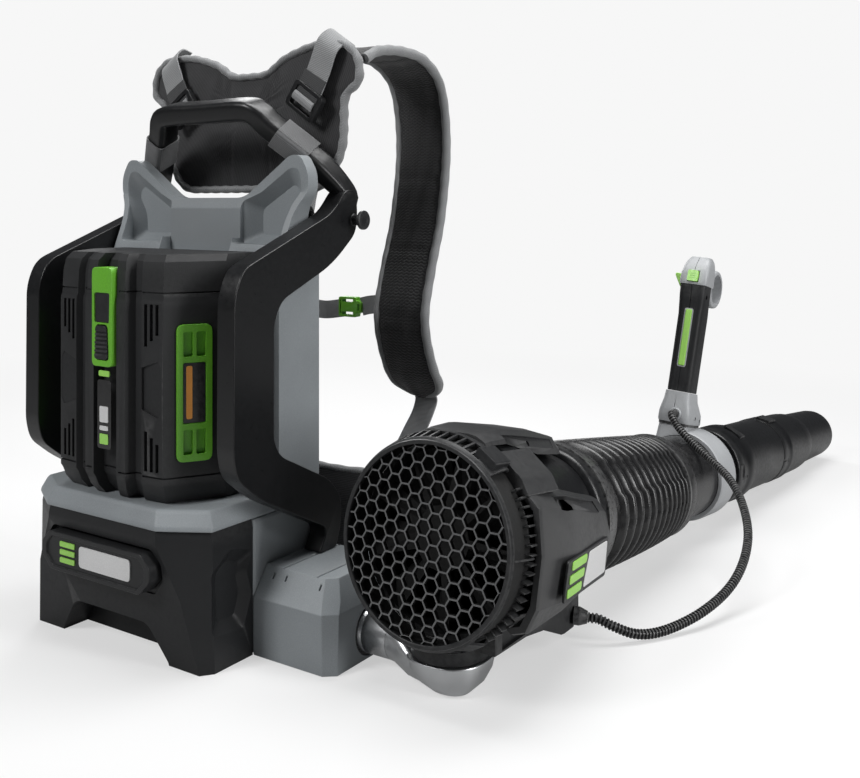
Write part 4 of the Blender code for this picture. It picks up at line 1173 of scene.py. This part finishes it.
def puffed(name, outline, spine, low, high, look, node):
    """A padded panel over an outline in x and z: flat at its rim and full between its quilting seams."""
    bm = bmesh.new()
    middle = Vector((0, sum(p[1] for p in outline) / len(outline)))
    steps = 14
    for face_sign in (1, -1):
        rings = []
        for s in range(steps + 1):
            t = s / steps
            ring = []
            for p in outline:
                x = middle.x + (p[0] - middle.x) * t
                z = middle.y + (p[1] - middle.y) * t
                dome = (1 - t ** 3.2)
                seam = min(abs(abs(x) - v) for v in spine)
                dent = 1 - 0.45 * math.exp(-((seam / (3.4 * MM)) ** 2))
                wrinkle = 0.5 * MM * math.sin(x * 260 + z * 90) * math.sin(z * 170 + x * 60) * dome
                thick = (high - low) / 2 * (0.30 + 0.70 * dome * dent) + wrinkle * (0.8 if face_sign < 0 else 0.4)
                y = (low + high) / 2 + face_sign * min(thick, (high - low) / 2)
                ring.append(bm.verts.new((x, y, z)))
            rings.append(ring)
        for a, b in zip(rings, rings[1:]):
            for i in range(len(a)):
                j = (i + 1) % len(a)
                bm.faces.new((a[i], a[j], b[j], b[i]) if face_sign > 0 else (b[i], b[j], a[j], a[i]))
        if face_sign > 0:
            front = rings[-1]
        else:
            back = rings[-1]
    for i in range(len(front)):
        j = (i + 1) % len(front)
        bm.faces.new((front[i], front[j], back[j], back[i]))
    bmesh.ops.remove_doubles(bm, verts=bm.verts, dist=0.01 * MM)
    obj = plain_object(name, bm)
    uv_from(obj, lambda co, _: (co.x, co.z))
    finish_piece(obj, "frame", look, (node,), slot="padded_fabric", angle=60)


def piping(name, path, radius):
    sections = []
    rows = frames_on(path, Vector((0, 1, 0)), True)
    for i, (here, wide, deep, _) in enumerate(rows):
        r = radius * (1 + 0.10 * math.sin(i * 1.3))
        sections.append(ring_at(here, wide, deep, round_section(r * 1.25, r, 10)))
    obj = plain_object(name, loft(sections, True))
    uv_from(obj, band_uv(path, rows))
    finish_piece(obj, "frame", "binding", slot="webbing", angle=60)


def yoke():
    outline = rounded(mirrored(mm(YOKE_EDGE)), 16 * MM, 6)
    outline = [Vector((p.x, p.y)) for p in outline]
    fine = evenly([Vector((p.x, 0, p.y)) for p in outline] + [Vector((outline[0].x, 0, outline[0].y))], 3 * MM)[:-1]
    puffed("yoke_pad", [(p.x, p.z) for p in fine], (26 * MM, 38 * MM), 78.6 * MM, 95.4 * MM, "yoke",
           "harness_yoke")
    rim = [Vector((p.x, 84 * MM, p.z)) for p in fine]
    piping("yoke_piping", rim, 3.8 * MM)
    for side, word in ((1, "right"), (-1, "left")):
        tape = [(112, 98, 548), (112, 86, 550), (108, 74.5, 540), (100, 73, 520), (92, 72, 502), (86.5, 70.5, 492)]
        if side < 0:
            tape = [(x, y, z - 3) for x, y, z in tape]
        flat_band(f"lifter_tape_{word}", tape, 27 * MM, 1.6 * MM, side=side, across=Vector((side * 0.83, 0, -0.56)),
                  waves=0.2 * MM)
        stub = [(96.5, 71.2, 512), (90, 70.2, 501), (84, 69.2, 489)]
        flat_band(f"lifter_tab_{word}", stub, 29 * MM, 1.6 * MM, side=side, across=Vector((side * 0.83, 0, -0.56)),
                  look="dark_webbing")
        lock_frame = Matrix.Translation(Vector((side * 84, 70.5, 488)) * MM) @ Matrix.Rotation(side * 0.6, 4, "Y")
        ring = slab(eased(rect(-20, -14, 20, 14), 5, 4), "Y", -3.2, 3.2)
        cuts = [(slab(eased(rect(-15, a, 15, b), 2, 3), "Y", -9, 9), lock_frame)
                for a, b in ((-10, -2.5), (2.5, 10))]
        piece(f"ladder_lock_{word}", ring, "frame", "satin", lock_frame, cuts=cuts,
                replaces=(f"load_lifter_buckle_{word}",), bevel=1.6 * MM)
        bar = [lock_frame @ (Vector((-13.5 + 27 * k / 10, -3.6, 0)) * MM) for k in range(11)]
        rows = frames_on(bar, Vector((0, 1, 0)))
        roll = loft([[p + w * a + d * b for a, b in round_section(2.4 * MM, 4.6 * MM, 12)] for p, w, d, _ in rows])
        wrap = plain_object(f"lock_wrap_{word}", roll)
        uv_from(wrap, band_uv(bar, rows))
        finish_piece(wrap, "frame", "webbing", slot="webbing", angle=50)


def belt_half(full, i, count):
    """Half the belt's width at row i: full along its middle, narrower towards both round ends."""
    end = min(i, count - 1 - i) * 4 * MM
    return full * MM * (1 if end > 34 * MM else math.sqrt(max(0.16, 1 - (1 - end / (34 * MM)) ** 2)))


def back_and_waist():
    edge = eased(rect(-97, 169, 97, 391), 18, 6)
    fine = evenly([Vector((p.x, 0, p.y)) for p in edge] + [Vector((edge[0].x, 0, edge[0].y))], 4 * MM)[:-1]
    puffed("back_pad_cloth", [(p.x, p.z) for p in fine], (30 * MM, 62 * MM), 59 * MM, 75.6 * MM, "mesh",
           "back_pad")
    half = [(0, 85, 95), (70, 85, 95), (115, 93, 92), (142, 118, 88), (152, 158, 84), (150, 190, 82)]
    path = evenly(curve_through(mm(both_sides(half)), 8), 4 * MM)
    rows = frames_on(path, Vector((0, 0, 1)))
    sections = []
    for i, (here, wide, deep, _) in enumerate(rows):
        half_w = belt_half(43, i, len(rows))
        ring = []
        for sign in (1, -1):
            for k in range(12):
                t = sign * (-1 + 2 * k / 11)
                puff = (1 - abs(t) ** 3) * (1 - 0.4 * math.exp(-((t / 0.12) ** 2)))
                ring.append((half_w * t, sign * MM * (1.8 + 4.2 * puff * (1 + 0.08 * math.sin(i * 0.5)))))
        sections.append(ring_at(here, wide, deep, ring))
    belt = plain_object("waist_belt_pad", loft(sections))
    uv_from(belt, band_uv(path, rows))
    finish_piece(belt, "frame", "yoke", ("waist_belt",), angle=60)
    tape = []
    for sign in (1, -1):
        line = []
        for i, (here, wide, deep, _) in enumerate(rows):
            half_w = belt_half(42, i, len(rows))
            line.append(here + wide * sign * half_w)
        tape = line if sign > 0 else tape + list(reversed(line))
    piping("belt_binding", tape, 2.9 * MM)


def chest_clip():
    """Side-release buckle: a slotted body that takes a two-pronged plug."""
    side = [(10, 264), (34, 264), (34, 268), (41, 269), (41, 281), (34, 282), (34, 286), (10, 286)]
    body = plain_object("chest_clip", slab(eased(side, 2.4, 3), "Y", 213.6, 222.4))
    for low, high in (((14, 210, 266.4), (30, 226, 269.6)), ((14, 210, 280.4), (30, 226, 283.6)),
                      ((36, 210, 271.5), (39, 226, 278.5)), ((11.5, 210, 267.5), (13, 226, 282.5))):
        cut(body, brick(low, high))
    for z in (271, 275, 279):
        cut(body, brick((17, 222, z - 0.7), (27, 224, z + 0.7)))
    finish_piece(body, "frame", "green", ("chest_buckle",), bevel=0.7 * MM)


# ---------------------------------------------------------------- pack


def side_bar_outline():
    """Bent guard bar seen from the side: (y, z), outer edge from the bottom up and inner edge back down."""
    outer = [(28, 74.5), (40, 95), (8, 111), (-48, 140), (-76, 163), (-81, 182), (-80, 312), (-70, 335), (47, 381)]
    upper = [(66, 402), (80, 402), (84, 385), (82, 362)]
    inner = [(47, 334), (-22, 306), (-32, 288), (-32, 186), (-23, 172), (42, 139), (59, 120), (60, 97), (52, 74.5)]
    radii = [3, 10, 24, 28, 20, 20, 26, 26, 22] + [8, 5, 12, 20] + [26, 22, 20, 20, 20, 26, 16, 14, 3]
    return rounded(mm(outer + upper + inner), [r * MM for r in radii], 6)


def guards():
    for side, word in ((1, "right"), (-1, "left")):
        low, high = sorted((side * 117.5 * MM, side * 137 * MM))
        piece(f"guard_bar_{word}", prism(side_bar_outline(), "X", low, high), "frame", "satin",
                replaces=(f"guard_{word}",), bevel=6.5 * MM, segments=5, angle=40)


def around_uv(rows):
    """UV of a tape wrapped round a bar: across it along the bar, along it round the bar."""
    walked = distances([row[0] for row in rows])

    def of_point(co, _):
        k = min(range(len(rows)), key=lambda i: (rows[i][0] - co).length_squared)
        here, wide, deep, along = rows[k]
        off = co - here
        a, b = off.dot(wide), off.dot(deep)
        return walked[k] + off.dot(along), (a - b if abs(a) > abs(b) else b - a)

    return of_point


def carry_handle():
    """Bar over the top of the pack with webbing wrapped round both ends."""
    half = [(0, 25, 478), (50, 25, 478), (64, 28, 473), (75, 36, 460), (105, 58.5, 430), (128, 77, 399)]
    half += [(128.5, 75, 386)]
    path = evenly(curve_through(mm(both_sides(half)), 8), 3 * MM)
    across = Vector((0, 1, 0.35)).normalized()
    section = eased(rect(-13, -10, 13, 10), 6, 5)
    rings = []
    for i, (here, wide, deep, _) in enumerate(frames_on(path, across)):
        near = min(i, len(path) - 1 - i) / (len(path) - 1)
        size = 1 - 0.34 * max(0.0, 1 - near / 0.13)
        rings.append([here + (wide * a + deep * b) * size for a, b in section])
    bar = plain_object("carry_bar", loft(rings))
    cut(bar, block((-0.2, 0, 0.30), (0.2, 0.2, 388 * MM)))
    finish_piece(bar, "frame", "satin", ("carry_handle",), angle=40)
    rows = frames_on(path, across)
    for word, start, end in (("right", 0.735, 0.835), ("left", 0.165, 0.265)):
        some = [row for i, row in enumerate(rows) if start <= i / (len(rows) - 1) <= end]
        wide = eased(rect(-14.6, -11.6, 14.6, 11.6), 6, 5)
        thin = eased(rect(-13.4, -10.4, 13.4, 10.4), 6, 5)
        bm = bmesh.new()
        rings = []
        for outline, turn in ((wide, some), (thin, list(reversed(some)))):
            for p, w, d, _ in turn:
                rings.append([bm.verts.new(p + w * a + d * b) for a, b in outline])
        rings.append(rings[0])
        for a, b in zip(rings, rings[1:]):
            for i in range(len(a)):
                j = (i + 1) % len(a)
                bm.faces.new((a[i], a[j], b[j], b[i]))
        wrap = plain_object(f"handle_wrap_{word}", bm)
        uv_from(wrap, around_uv(some))
        finish_piece(wrap, "frame", "wrap", slot="webbing", angle=50)


def shell():
    """Grey shell with two ears: a thick rim round a faceted recess."""
    right = [(113, 134.6), (113, 372), (117, 388), (126, 400), (126, 418), (116, 434), (104, 434), (47, 395)]
    radii = [3, 20, 10, 8, 8, 7, 8, 8]
    outline = rounded(mirrored(mm(right)), [r * MM for r in radii + radii[::-1]], 5)
    front = [Vector((p[0], 0.5 * MM, p[1])) for p in outline]
    back = [Vector((p[0] * 0.985, 58 * MM, p[1])) for p in outline]
    body = plain_object("shell_body", loft([front, back]))
    cut(body, prism(mm([(-1, 330), (26, 400), (26, 460), (-1, 460)]), "X", -0.2, 0.2))
    cut(body, brick((-104, 44, 146), (104, 70, 380)))
    cut(body, brick((-200, 40, 372), (200, 70, 460)))
    for side in (-1, 1):
        wide = [(47, 391), (105, 427.5), (115, 427.5), (119.5, 416), (119.5, 402), (110, 390), (106, 372),
                (106, 352), (47, 352)]
        deep = [(62, 384), (101, 407), (106, 404), (108, 400), (108, 394), (101, 384), (98, 374), (98, 360), (62, 360)]
        wide = rounded([(side * x * MM, z * MM) for x, z in wide], 5 * MM, 4)
        deep = rounded([(side * x * MM, z * MM) for x, z in deep], 5 * MM, 4)
        recess = loft([[Vector((p[0], y * MM, p[1])) for p in shape] for shape,
                y in ((wide, -6), (wide, 23), (deep, 35.5))])
        cut(body, recess)
    middle = eased(rect(-47, 388, 47, 340), 4, 3)
    cut(body, slab(middle, "Y", -6, 20))
    finish_piece(body, "frame", "grey", ("main_shell",), bevel=2.6 * MM, segments=4, angle=24)


def battery():
    """Battery with a ribbed middle column, vent slots in its side columns, a latch and two corner vents."""
    right = [(13, -88.5), (15, -98.5), (26, -98.5), (30, -90), (40, -90), (43, -95), (67.4, -93), (94.7, -48),
             (94.7, -8), (88, -2)]
    sections = []
    for height, inset in ((134.6, 9), (142, 4), (150, 1.5), (153, 0), (300, 0), (306, 0.2), (309, 1.2), (330, 2),
            (340, 4), (346, 9)):
        plan = [(x - inset * 0.6, min(y + inset, -2)) for x, y in right]
        sections.append([Vector((x * MM, y * MM, height * MM)) for x, y in mirrored(plan)])
    case = plain_object("battery_body", loft(sections))
    cut(case, brick((-37, -60.5, 100), (37, -35.5, 152)))
    for side in (-1, 1):
        for k in range(3):
            near, far = sorted((side * (46 + 6.4 * k), side * (49.4 + 6.4 * k)))
            upper = 268 + 5 * k
            cut(case, brick((near, -99, upper), (far, -88, 304)))
            cut(case, brick((near, -99, 162), (far, -88, 196 - 5 * k)))
        facet = rounded([(side * x * MM, z * MM) for x, z in ((43, 214), (62, 208), (66, 214), (66, 250), (62, 256),
                (43, 250))], MM, 2)
        cut(case, slab(facet, "Y", -99, -92.9))
        sleeve = vent_plate(side, 0.3 * MM, -4.4 * MM, 6 * MM)
        cut(case, sleeve)
    cut(case, slab(eased(rect(-13.4, 247.6, 13.4, 334.4), 5, 4), "Y", -102, -87.6))
    for z, grow in ((313, 2.4), (157, 1.6)):
        plan = [((x + 3) * MM, (y - 3) * MM if y < -3 else 0.004) for x, y in right]
        keep = [((x - grow) * MM, (y + grow) * MM if y < -3 else -0.003) for x, y in right]
        groove = plain_object("groove", slab(mirrored(plan), "Z", z, z + 1.5))
        cut(groove, slab(mirrored(keep), "Z", z - 1, z + 3))
        bm = bmesh.new()
        bm.from_mesh(groove.data)
        bpy.data.meshes.remove(groove.data)
        cut(case, bm)
    finish_piece(case, "battery", "battery", ("battery_case",), bevel=1.4 * MM, segments=3, angle=28)
    plate = eased(rect(-9, 176, 9, 236), 3, 3)
    piece("battery_label", slab(plate, "Y", -99.2, -98.4), "battery", "gloss", slot="dark_plastic", bevel=0.25 * MM,
            segments=2)
    for k, (z, tall) in enumerate(((180, 9), (192, 4), (199, 14))):
        bar = slab(eased([(-5.5, z), (5.5, z), (5.5, z + tall), (-5.5, z + tall)], 1.2, 2), "Y", -99.7, -99.1)
        piece(f"battery_mark_{k}", bar, "battery", "pale_label" if k else "lime", slot="dark_plastic")
    glow = slab(eased(rect(-7, 239, 7, 244), 1.4, 2), "Y", -99.5, -98.3)
    piece("charge_window", glow, "battery", "lime", slot="lime_plastic", bevel=0.2 * MM)


def vent_plane(side):
    """Middle of the battery's chamfered corner, the way it faces, and the level line along it."""
    normal = Vector((side * 45, -27.3, 0)).normalized()
    return Vector((side * 81.3 * MM, -71 * MM, 229 * MM)), normal, Vector((0, 0, 1)).cross(normal)


def vent_plate(side, grow, inner, outer):
    half, high = 15.0 * MM + grow, 58.0 * MM + grow
    outline = rounded(rect(-half, -high, half, high), 6.0 * MM, 4)
    centre, normal, across = vent_plane(side)
    return loft([[centre + across * a + Vector((0, 0, b)) + normal * d for a, b in outline] for d in (inner, outer)])


def vent_box(side, low, high, inner, outer):
    """A box on the vent's own plane: (across, up) from low to high, and the depths inner to outer."""
    centre, normal, across = vent_plane(side)
    outline = eased([(low[0], low[1]), (high[0], low[1]), (high[0], high[1]), (low[0], high[1])], 1.6, 3)
    return loft([[centre + across * a + Vector((0, 0, b)) + normal * d * MM for a, b in outline] for d in (inner,
            outer)])


def battery_trim():
    for side, word in ((1, "right"), (-1, "left")):
        frame_part = plain_object(f"corner_vent_{word}", vent_plate(side, 0, -4 * MM, 2.4 * MM))
        inward = 1 if side > 0 else -1
        cut(frame_part, vent_box(side, (-10, -26), (10, 26), 0.6, 9))
        for low, high in ((-9.5, -1.5), (1.5, 9.5)):
            cut(frame_part, vent_box(side, (low, 31), (high, 52), -2.6, 9))
            cut(frame_part, vent_box(side, (low, -52), (high, -31), -2.6, 9))
        finish_piece(frame_part, "battery", "green", (f"battery_vent_{word}",), bevel=0.8 * MM)
        piece(f"vent_label_{word}", vent_box(side, (-9.4, -25.4), (9.4, 25.4), 0.5, 1.2), "battery", "gloss",
                slot="dark_plastic")
        piece(f"vent_strip_{word}", vent_box(side, (-4.4 * inward - 2.6, -22), (-4.4 * inward + 2.6, 23), 1.1, 1.5),
                "battery", "orange", slot="dark_plastic")
    strap = slab(eased(rect(-13, 248, 13, 334), 5, 4), "Y", -102, -88)
    window = slab(eased([(-9.3, 253.6), (9.3, 253.6), (7.6, 284.4), (-7.6, 284.4)], 4, 4), "Y", -110, -92)
    body = plain_object("latch_strap", strap)
    cut(body, window)
    cut(body, slab(eased([(-9.4, 286), (9.4, 286), (10, 312), (-10, 312)], 2, 3), "Y", -110, -99))
    finish_piece(body, "battery", "green", ("battery_latch",), bevel=1.4 * MM)
    inset = slab(eased([(-9.2, 286.2), (9.2, 286.2), (9.8, 311.8), (-9.8, 311.8)], 2, 3), "Y", -101.2, -98.8)
    piece("latch_inset", inset, "battery", "dark", bevel=0.5 * MM, slot="dark_plastic")
    press = plain_object("latch_press_pad", slab(eased([(-8.6, 254.4), (8.6, 254.4), (7, 283.6), (-7, 283.6)], 3.4,
            4), "Y", -103.4, -96.4))
    for k in range(6):
        z = 259 + 3.6 * k
        cut(press, brick((-9, -104, z), (9, -102.2, z + 1.6)))
    finish_piece(press, "latch_button", "dark", ("latch_button",), bevel=0.5 * MM)


def base():
    """Black cover with a framed octagonal plate, an arch between its feet and a hollowed right flank."""
    bottom = mirrored([(105, -88), (113, -78), (113, -33)])
    middle = mirrored([(92, -97), (113, -80), (113, -33)])
    top = mirrored([(70, -104), (112, -80), (113, -33)])
    rows = ((0, bottom), (62, middle), (106, top), (110, top), (117, [(x * 0.985, y * 0.985 - 0.5) for x, y in top]))
    body = plain_object("base_front", stack(rows))
    arch = eased([(-72, -2), (72, -2), (47, 33), (-47, 33)], 8, 5)
    cut(body, slab(arch, "Y", -130, -62))
    cut(body, brick((-100, -76, 42), (100, 0, 110)))
    plate = [(-74, 76), (-62, 61), (62, 61), (74, 76), (74, 90), (64, 101), (-64, 101), (-74, 90)]
    cut(body, slab(eased(plate, 3, 3), "Y", -120, -95.5))
    flank = [(-84, 30), (-44, 26), (-33.5, 54), (-40, 74), (-33.5, 92), (-60, 100), (-84, 84)]
    deep = [(-70, 40), (-50, 38), (-44, 56), (-48, 72), (-44, 82), (-60, 88), (-72, 78)]
    rings = ((flank, 113.6), (deep, 106.5))
    hollow = loft([[Vector((x * MM, p[0], p[1])) for p in eased(plan, 4, 3)] for plan, x in rings])
    cut(body, hollow)
    finish_piece(body, "frame", "black", ("base_cover",), bevel=2.6 * MM, segments=4, angle=24)
    rim = eased([(-70, 76), (-58, 64), (58, 64), (70, 76), (70, 88), (60, 98), (-60, 98), (-70, 88)], 3, 3)
    badge = plain_object("base_plate", slab(rim, "Y", -111, -95.6))
    face = eased([(-64, 77), (-55, 68), (55, 68), (64, 77), (64, 86), (57, 94), (-57, 94), (-64, 86)], 2.4, 3)
    cut(badge, slab(face, "Y", -120, -109.4))
    finish_piece(badge, "frame", "dark", ("base_badge",), bevel=1.2 * MM)
    for k in range(3):
        z = 72 + 7 * k
        piece(f"base_mark_{k}", slab(eased([(-46, z), (-26, z), (-26, z + 4.6), (-46, z + 4.6)], 1.2, 3), "Y",
                -110.4, -109.2), "frame", "lime", slot="lime_plastic", bevel=0.2 * MM)
    piece("base_blank", slab(eased(rect(-20, 72, 46, 90.6), 4, 4), "Y", -110.4, -109.2), "frame", "pale_label",
            slot="light_grey_plastic", bevel=0.3 * MM)


# ---------------------------------------------------------------- control handle, arm and pivot


def lofted_boxes(rows, radius, steps=6):
    """Rounded boxes stacked in the handle's frame: (height, half width, back, front)."""
    sections = []
    for z, wide, back, front in rows:
        ring = eased(rect(-wide, back, wide, front), radius, steps)
        sections.append([Vector((p[0], p[1], z * MM)) for p in ring])
    return loft(sections)


def grip():
    rows = ((97.4, 14.5, -17, 16), (99, 14.6, -17.2, 16.2), (150, 14.8, -17, 16), (190, 15.0, -17, 16),
            (206, 16.0, -18, 11), (214, 16.4, -19, 9.8), (226, 16.5, -20, 9.6))
    body = plain_object("grip_body", lofted_boxes(rows, 8.5), HANDLE)
    slot = eased(rect(-5.4, 126.6, 5.4, 197.4), 2.6, 4)
    cut(body, slab(slot, "Y", -30, -14), HANDLE)
    cut(body, brick((-7.4, 2, 150), (7.4, 40, 186)), HANDLE)
    for low, high in ((97, 126), (198, 227)):
        cut(body, brick((-0.35, -30, low), (0.35, -16.6, high)), HANDLE)
    hole = HANDLE @ Matrix.Translation(spot(20, -9, 213)) @ Matrix.Rotation(math.pi / 2, 4, "Y")
    cut(body, turned(mm(rect(0, -7, 2.6, 8)), 32), hole)
    finish_piece(body, "tube", "black", ("grip",), angle=36)
    edge = eased(rect(-5.3, 126.7, 5.3, 197.3), 2.6, 4)
    inner = eased(rect(-4.1, 127.9, 4.1, 196.1), 2, 4)
    rim = plain_object("insert_rim", slab(edge, "Y", -17.6, -14.2), HANDLE)
    cut(rim, slab(inner, "Y", -20, -12), HANDLE)
    finish_piece(rim, "tube", "light_grey", slot="light_grey_plastic")
    bar = eased(rect(-3.9, 128.1, 3.9, 195.9), 1.8, 4)
    piece("insert_bar", slab(bar, "Y", -18.6, -14.4), "tube", "lime", HANDLE, replaces=("grip_insert",), bevel=1.1 * MM)


def handle_head():
    rows = ((226.4, 17, -20.5, 12), (229, 17.4, -20.8, 12.4), (240, 17.2, -19.4, 12.4), (250, 16, -15, 13),
            (257, 14.4, -10, 13), (262, 11.5, -5.5, 13))
    head = plain_object("head_shell", lofted_boxes(rows, 6), HANDLE)
    ring = HANDLE @ Matrix.Translation(spot(-13, 34, 228)) @ Matrix.Rotation(math.pi / 2, 4, "Y")
    profile = mm([(0, 0), (21.6, 0), (22.8, 0.8), (23.5, 3), (23.5, 23), (22.8, 25.2), (21.6, 26), (0, 26)])
    join(head, turned(profile, 72), ring)
    cut(head, turned(mm(rect(0, -20, 18.5, 60)), 72), ring)
    cut(head, brick((-7, -30, 229.2), (7, -14.6, 243.8)), HANDLE)
    cut(head, brick((-0.3, -30, 244), (0.3, 8, 270)),
            HANDLE @ Matrix.Translation(spot(0, -3.2, 0)) @ Matrix.Rotation(-0.02, 4, "X"))
    finish_piece(head, "tube", "light_grey", ("handle_head",), angle=40)
    face = HANDLE @ Matrix.Translation(spot(0, -19.8, 236)) @ Matrix.Rotation(-0.1, 4, "X")
    pad = eased(rect(-6.3, -6.3, 6.3, 7), 2, 4)
    button = plain_object("boost_pad", slab(pad, "Y", -3.6, 1.6), face)
    for k in range(3):
        cut(button, brick((-3.4, -4.2, -3 + 2.6 * k), (3.4, -3.2, -2.2 + 2.6 * k)), face)
    finish_piece(button, "boost_button", "lime", ("boost_button",), bevel=0.9 * MM)


def handle_foot():
    rows = ((60.4, 19, -20, 30), (63, 19.6, -20.4, 30.4), (72, 19.6, -20.2, 29), (80, 18, -19.6, 24),
            (87, 16.4, -18.8, 19.6), (97, 15.5, -18, 17))
    foot = plain_object("foot_shell", lofted_boxes(rows, 7.5), HANDLE)
    cut(foot, brick((-0.3, -30, 78), (0.3, -18.3, 99)), HANDLE)
    for x, y, z in ((19, 4, 68), (19, 20, 66)):
        hole = HANDLE @ Matrix.Translation(spot(x, y, z)) @ Matrix.Rotation(math.pi / 2, 4, "Y")
        cut(foot, turned(mm(rect(0, -5, 2.4, 6)), 24), hole)
    finish_piece(foot, "tube", "light_grey", ("handle_bracket",), angle=40)
    gasket = eased(rect(-18.4, -19.2, 18.4, 29), 7, 5)
    piece("foot_gasket", slab(gasket, "Z", 57.4, 60.8), "tube", "rubber", HANDLE)
    entry = frame_along(Vector((294.25, 494.9, 139.78)) * MM, -(HANDLE.to_3x3() @ Vector((0, 1, 0))))
    profile = mm([(4.9, -2), (7.4, -2), (7.4, 0.6), (6.6, 1.8), (5.4, 1.8), (4.9, 0.8)])
    piece("cable_grommet", turned(profile, 40), "tube", "light_grey", entry)
    band = [(47.6, 162), (51.4, 162), (52.2, 163), (52.6, 166), (52.6, 200), (52.2, 203), (51, 204), (47.6, 204)]
    clamp = plain_object("clamp_band", turned(mm(band), 96), TUBE)
    rows = ((22, 20, -22, 27), (40, 19, -19, 25), (57.4, 17.6, -18.2, 28))
    join(clamp, lofted_boxes(rows, 6), HANDLE)
    cut(clamp, turned(mm(rect(0, 120, 47.6, 240)), 96), TUBE)
    finish_piece(clamp, "tube", "light_grey", ("handle_clamp",), angle=40)


def squarish(turn, power):
    """A point of a unit circle, pushed towards a square as the power falls."""
    c, s = math.cos(turn), math.sin(turn)
    return math.copysign(abs(c) ** power, c), math.copysign(abs(s) ** power, s)


def arm():
    """Tube with a turned shoulder, and the cast scoop that holds the swivel."""
    at = frame_along(Vector((158, 21.5, 24)) * MM, Vector((1, 0, 0)))
    profile = mm([(16, 0), (19.5, 0), (19.5, 44), (19.1, 44.6), (19.1, 46), (19.5, 46.6), (19.5, 70), (16, 70)])
    piece("arm_shaft", turned(profile, 72), BODY_OF["arm_tube"], "aluminium", at, replaces=("arm_tube",), angle=40)
    sections = []
    for z, x, y, a, b in ((1.5, 292, 6, 13, 11), (2.6, 291, 7, 17, 15), (8, 286.5, 14, 27, 26),
                          (15, 283, 19, 32.6, 32), (23, 281.2, 21.2, 35, 34.6), (24, 281, 21.5, 34.6, 34.3)):
        ring = []
        for k in range(56):
            c, s = squarish(2 * math.pi * k / 56, 0.86)
            ring.append(Vector((x + a * c, y + b * s, z)) * MM)
        sections.append(ring)
    cup = plain_object("cast_scoop", loft(sections))
    sections = []
    for x, wide, low, high, square in ((228.4, 19.6, 4.4, 43.6, 1.0), (234, 20.2, 4.2, 43, 0.95),
                                       (242, 22, 3.4, 38, 0.75), (254, 26, 2.8, 28, 0.6), (272, 30, 2.6, 23.4, 0.6)):
        middle, tall = (low + high) / 2, (high - low) / 2
        ring = []
        for k in range(40):
            c, s = squarish(2 * math.pi * k / 40, square)
            ring.append(Vector((x, 21.5 + wide * c, middle + tall * s)) * MM)
        sections.append(ring)
    join(cup, loft(sections))
    pocket = turned(mm([(0, 9), (28.8, 9), (28.8, 24), (33.6, 24), (33.6, 60), (0, 60)]), 72)
    cut(cup, pocket, Matrix.Translation(Vector((281, 21.5, 0)) * MM))
    finish_piece(cup, BODY_OF["arm_cup"], "cast", ("arm_cup",), bevel=0.8 * MM, segments=2, angle=36)
    drum = mm([(0, 9.4), (28.3, 9.4), (28.3, 24.4), (32.4, 24.4), (33, 25.2), (33, 46), (32.2, 47), (0, 47)])
    piece("swivel_drum", turned(drum, 72), BODY_OF["swivel_post"], "black",
            Matrix.Translation(Vector((281, 21.5, 0)) * MM), replaces=("swivel_post",), angle=40)


def pivot_housing():
    lowest = [(113.4, -33), (190, -33), (200, -25), (200, 60), (113.4, 60)]
    middle = [(113.4, -33), (189, -33), (200, -23), (200, 60), (113.4, 60)]
    chamfer = [(113.4, -27), (185, -27), (196, -16), (196, 60), (113.4, 60)]
    high = [(113.4, -16), (180, -16), (188, -8), (188, 60), (113.4, 60)]
    rows = ((0, lowest), (50, middle), (58, chamfer), (74, high))
    body = plain_object("pivot_case", stack(rows))
    bore = frame_along(Vector((148, 21.5, 24)) * MM, Vector((1, 0, 0)))
    cut(body, turned(mm(rect(0, 0, 22, 80)), 48), bore)
    for x in (134, 172):
        cut(body, brick((x - 0.8, -40, 60), (x + 0.8, 61, 80)), Matrix.Translation(spot(0, 0, 12.6)))
    for x in (126, 140, 178):
        groove = Matrix.Translation(spot(x, -21.6, 66)) @ Matrix.Rotation(math.radians(-55), 4, "X")
        cut(body, brick((-0.8, -10, -0.8), (0.8, 10, 4)), groove)
    finish_piece(body, "frame", "grey", ("pivot_housing",), bevel=2.6 * MM, segments=4, angle=20)


def platform():
    low = mirrored([(71, -105), (113, -81), (114, 0), (114, 60)])
    high = mirrored([(67, -100), (107, -78), (109, -5), (109, 60)])
    inset = mirrored([(65.5, -98), (105, -76.4), (107, -5), (107, 60)])
    rows = ((117.4, low), (121, low), (132, high), (134, inset))
    tray = plain_object("platform_tray", stack(rows))
    cut(tray, brick((-36, -60, 100), (36, -36, 150)))
    finish_piece(tray, "frame", "grey", ("battery_platform",), bevel=1.8 * MM, segments=4, angle=14)


def storage_peg():
    at = frame_along(Vector((137.3, 78, 374)) * MM, Vector((1, 0, 0)))
    profile = mm([(0, -2), (6, -2), (6, 0), (5, 1), (5, 8.4), (8.2, 8.8), (9, 9.6), (9, 11.8), (8.2, 12.5),
            (5, 12.5), (4.4, 12.1), (0, 12.1)])
    piece("peg_disc", turned(profile, 48), "frame", "dark", at, replaces=("storage_peg",), angle=40)


# ---------------------------------------------------------------- build

camera()
studio()
control_cable()
inlet_grille()
inlet_ring()
duct()
bellows()
tube_pieces()
side_cover()
top_cover()
motor_box()
mount_bracket()
shoulder_straps()
yoke()
back_and_waist()
chest_clip()
webbings()
guards()
carry_handle()
shell()
battery()
battery_trim()
base()
grip()
handle_head()
handle_foot()
arm()
pivot_housing()
platform()
storage_peg()
dress_nodes()
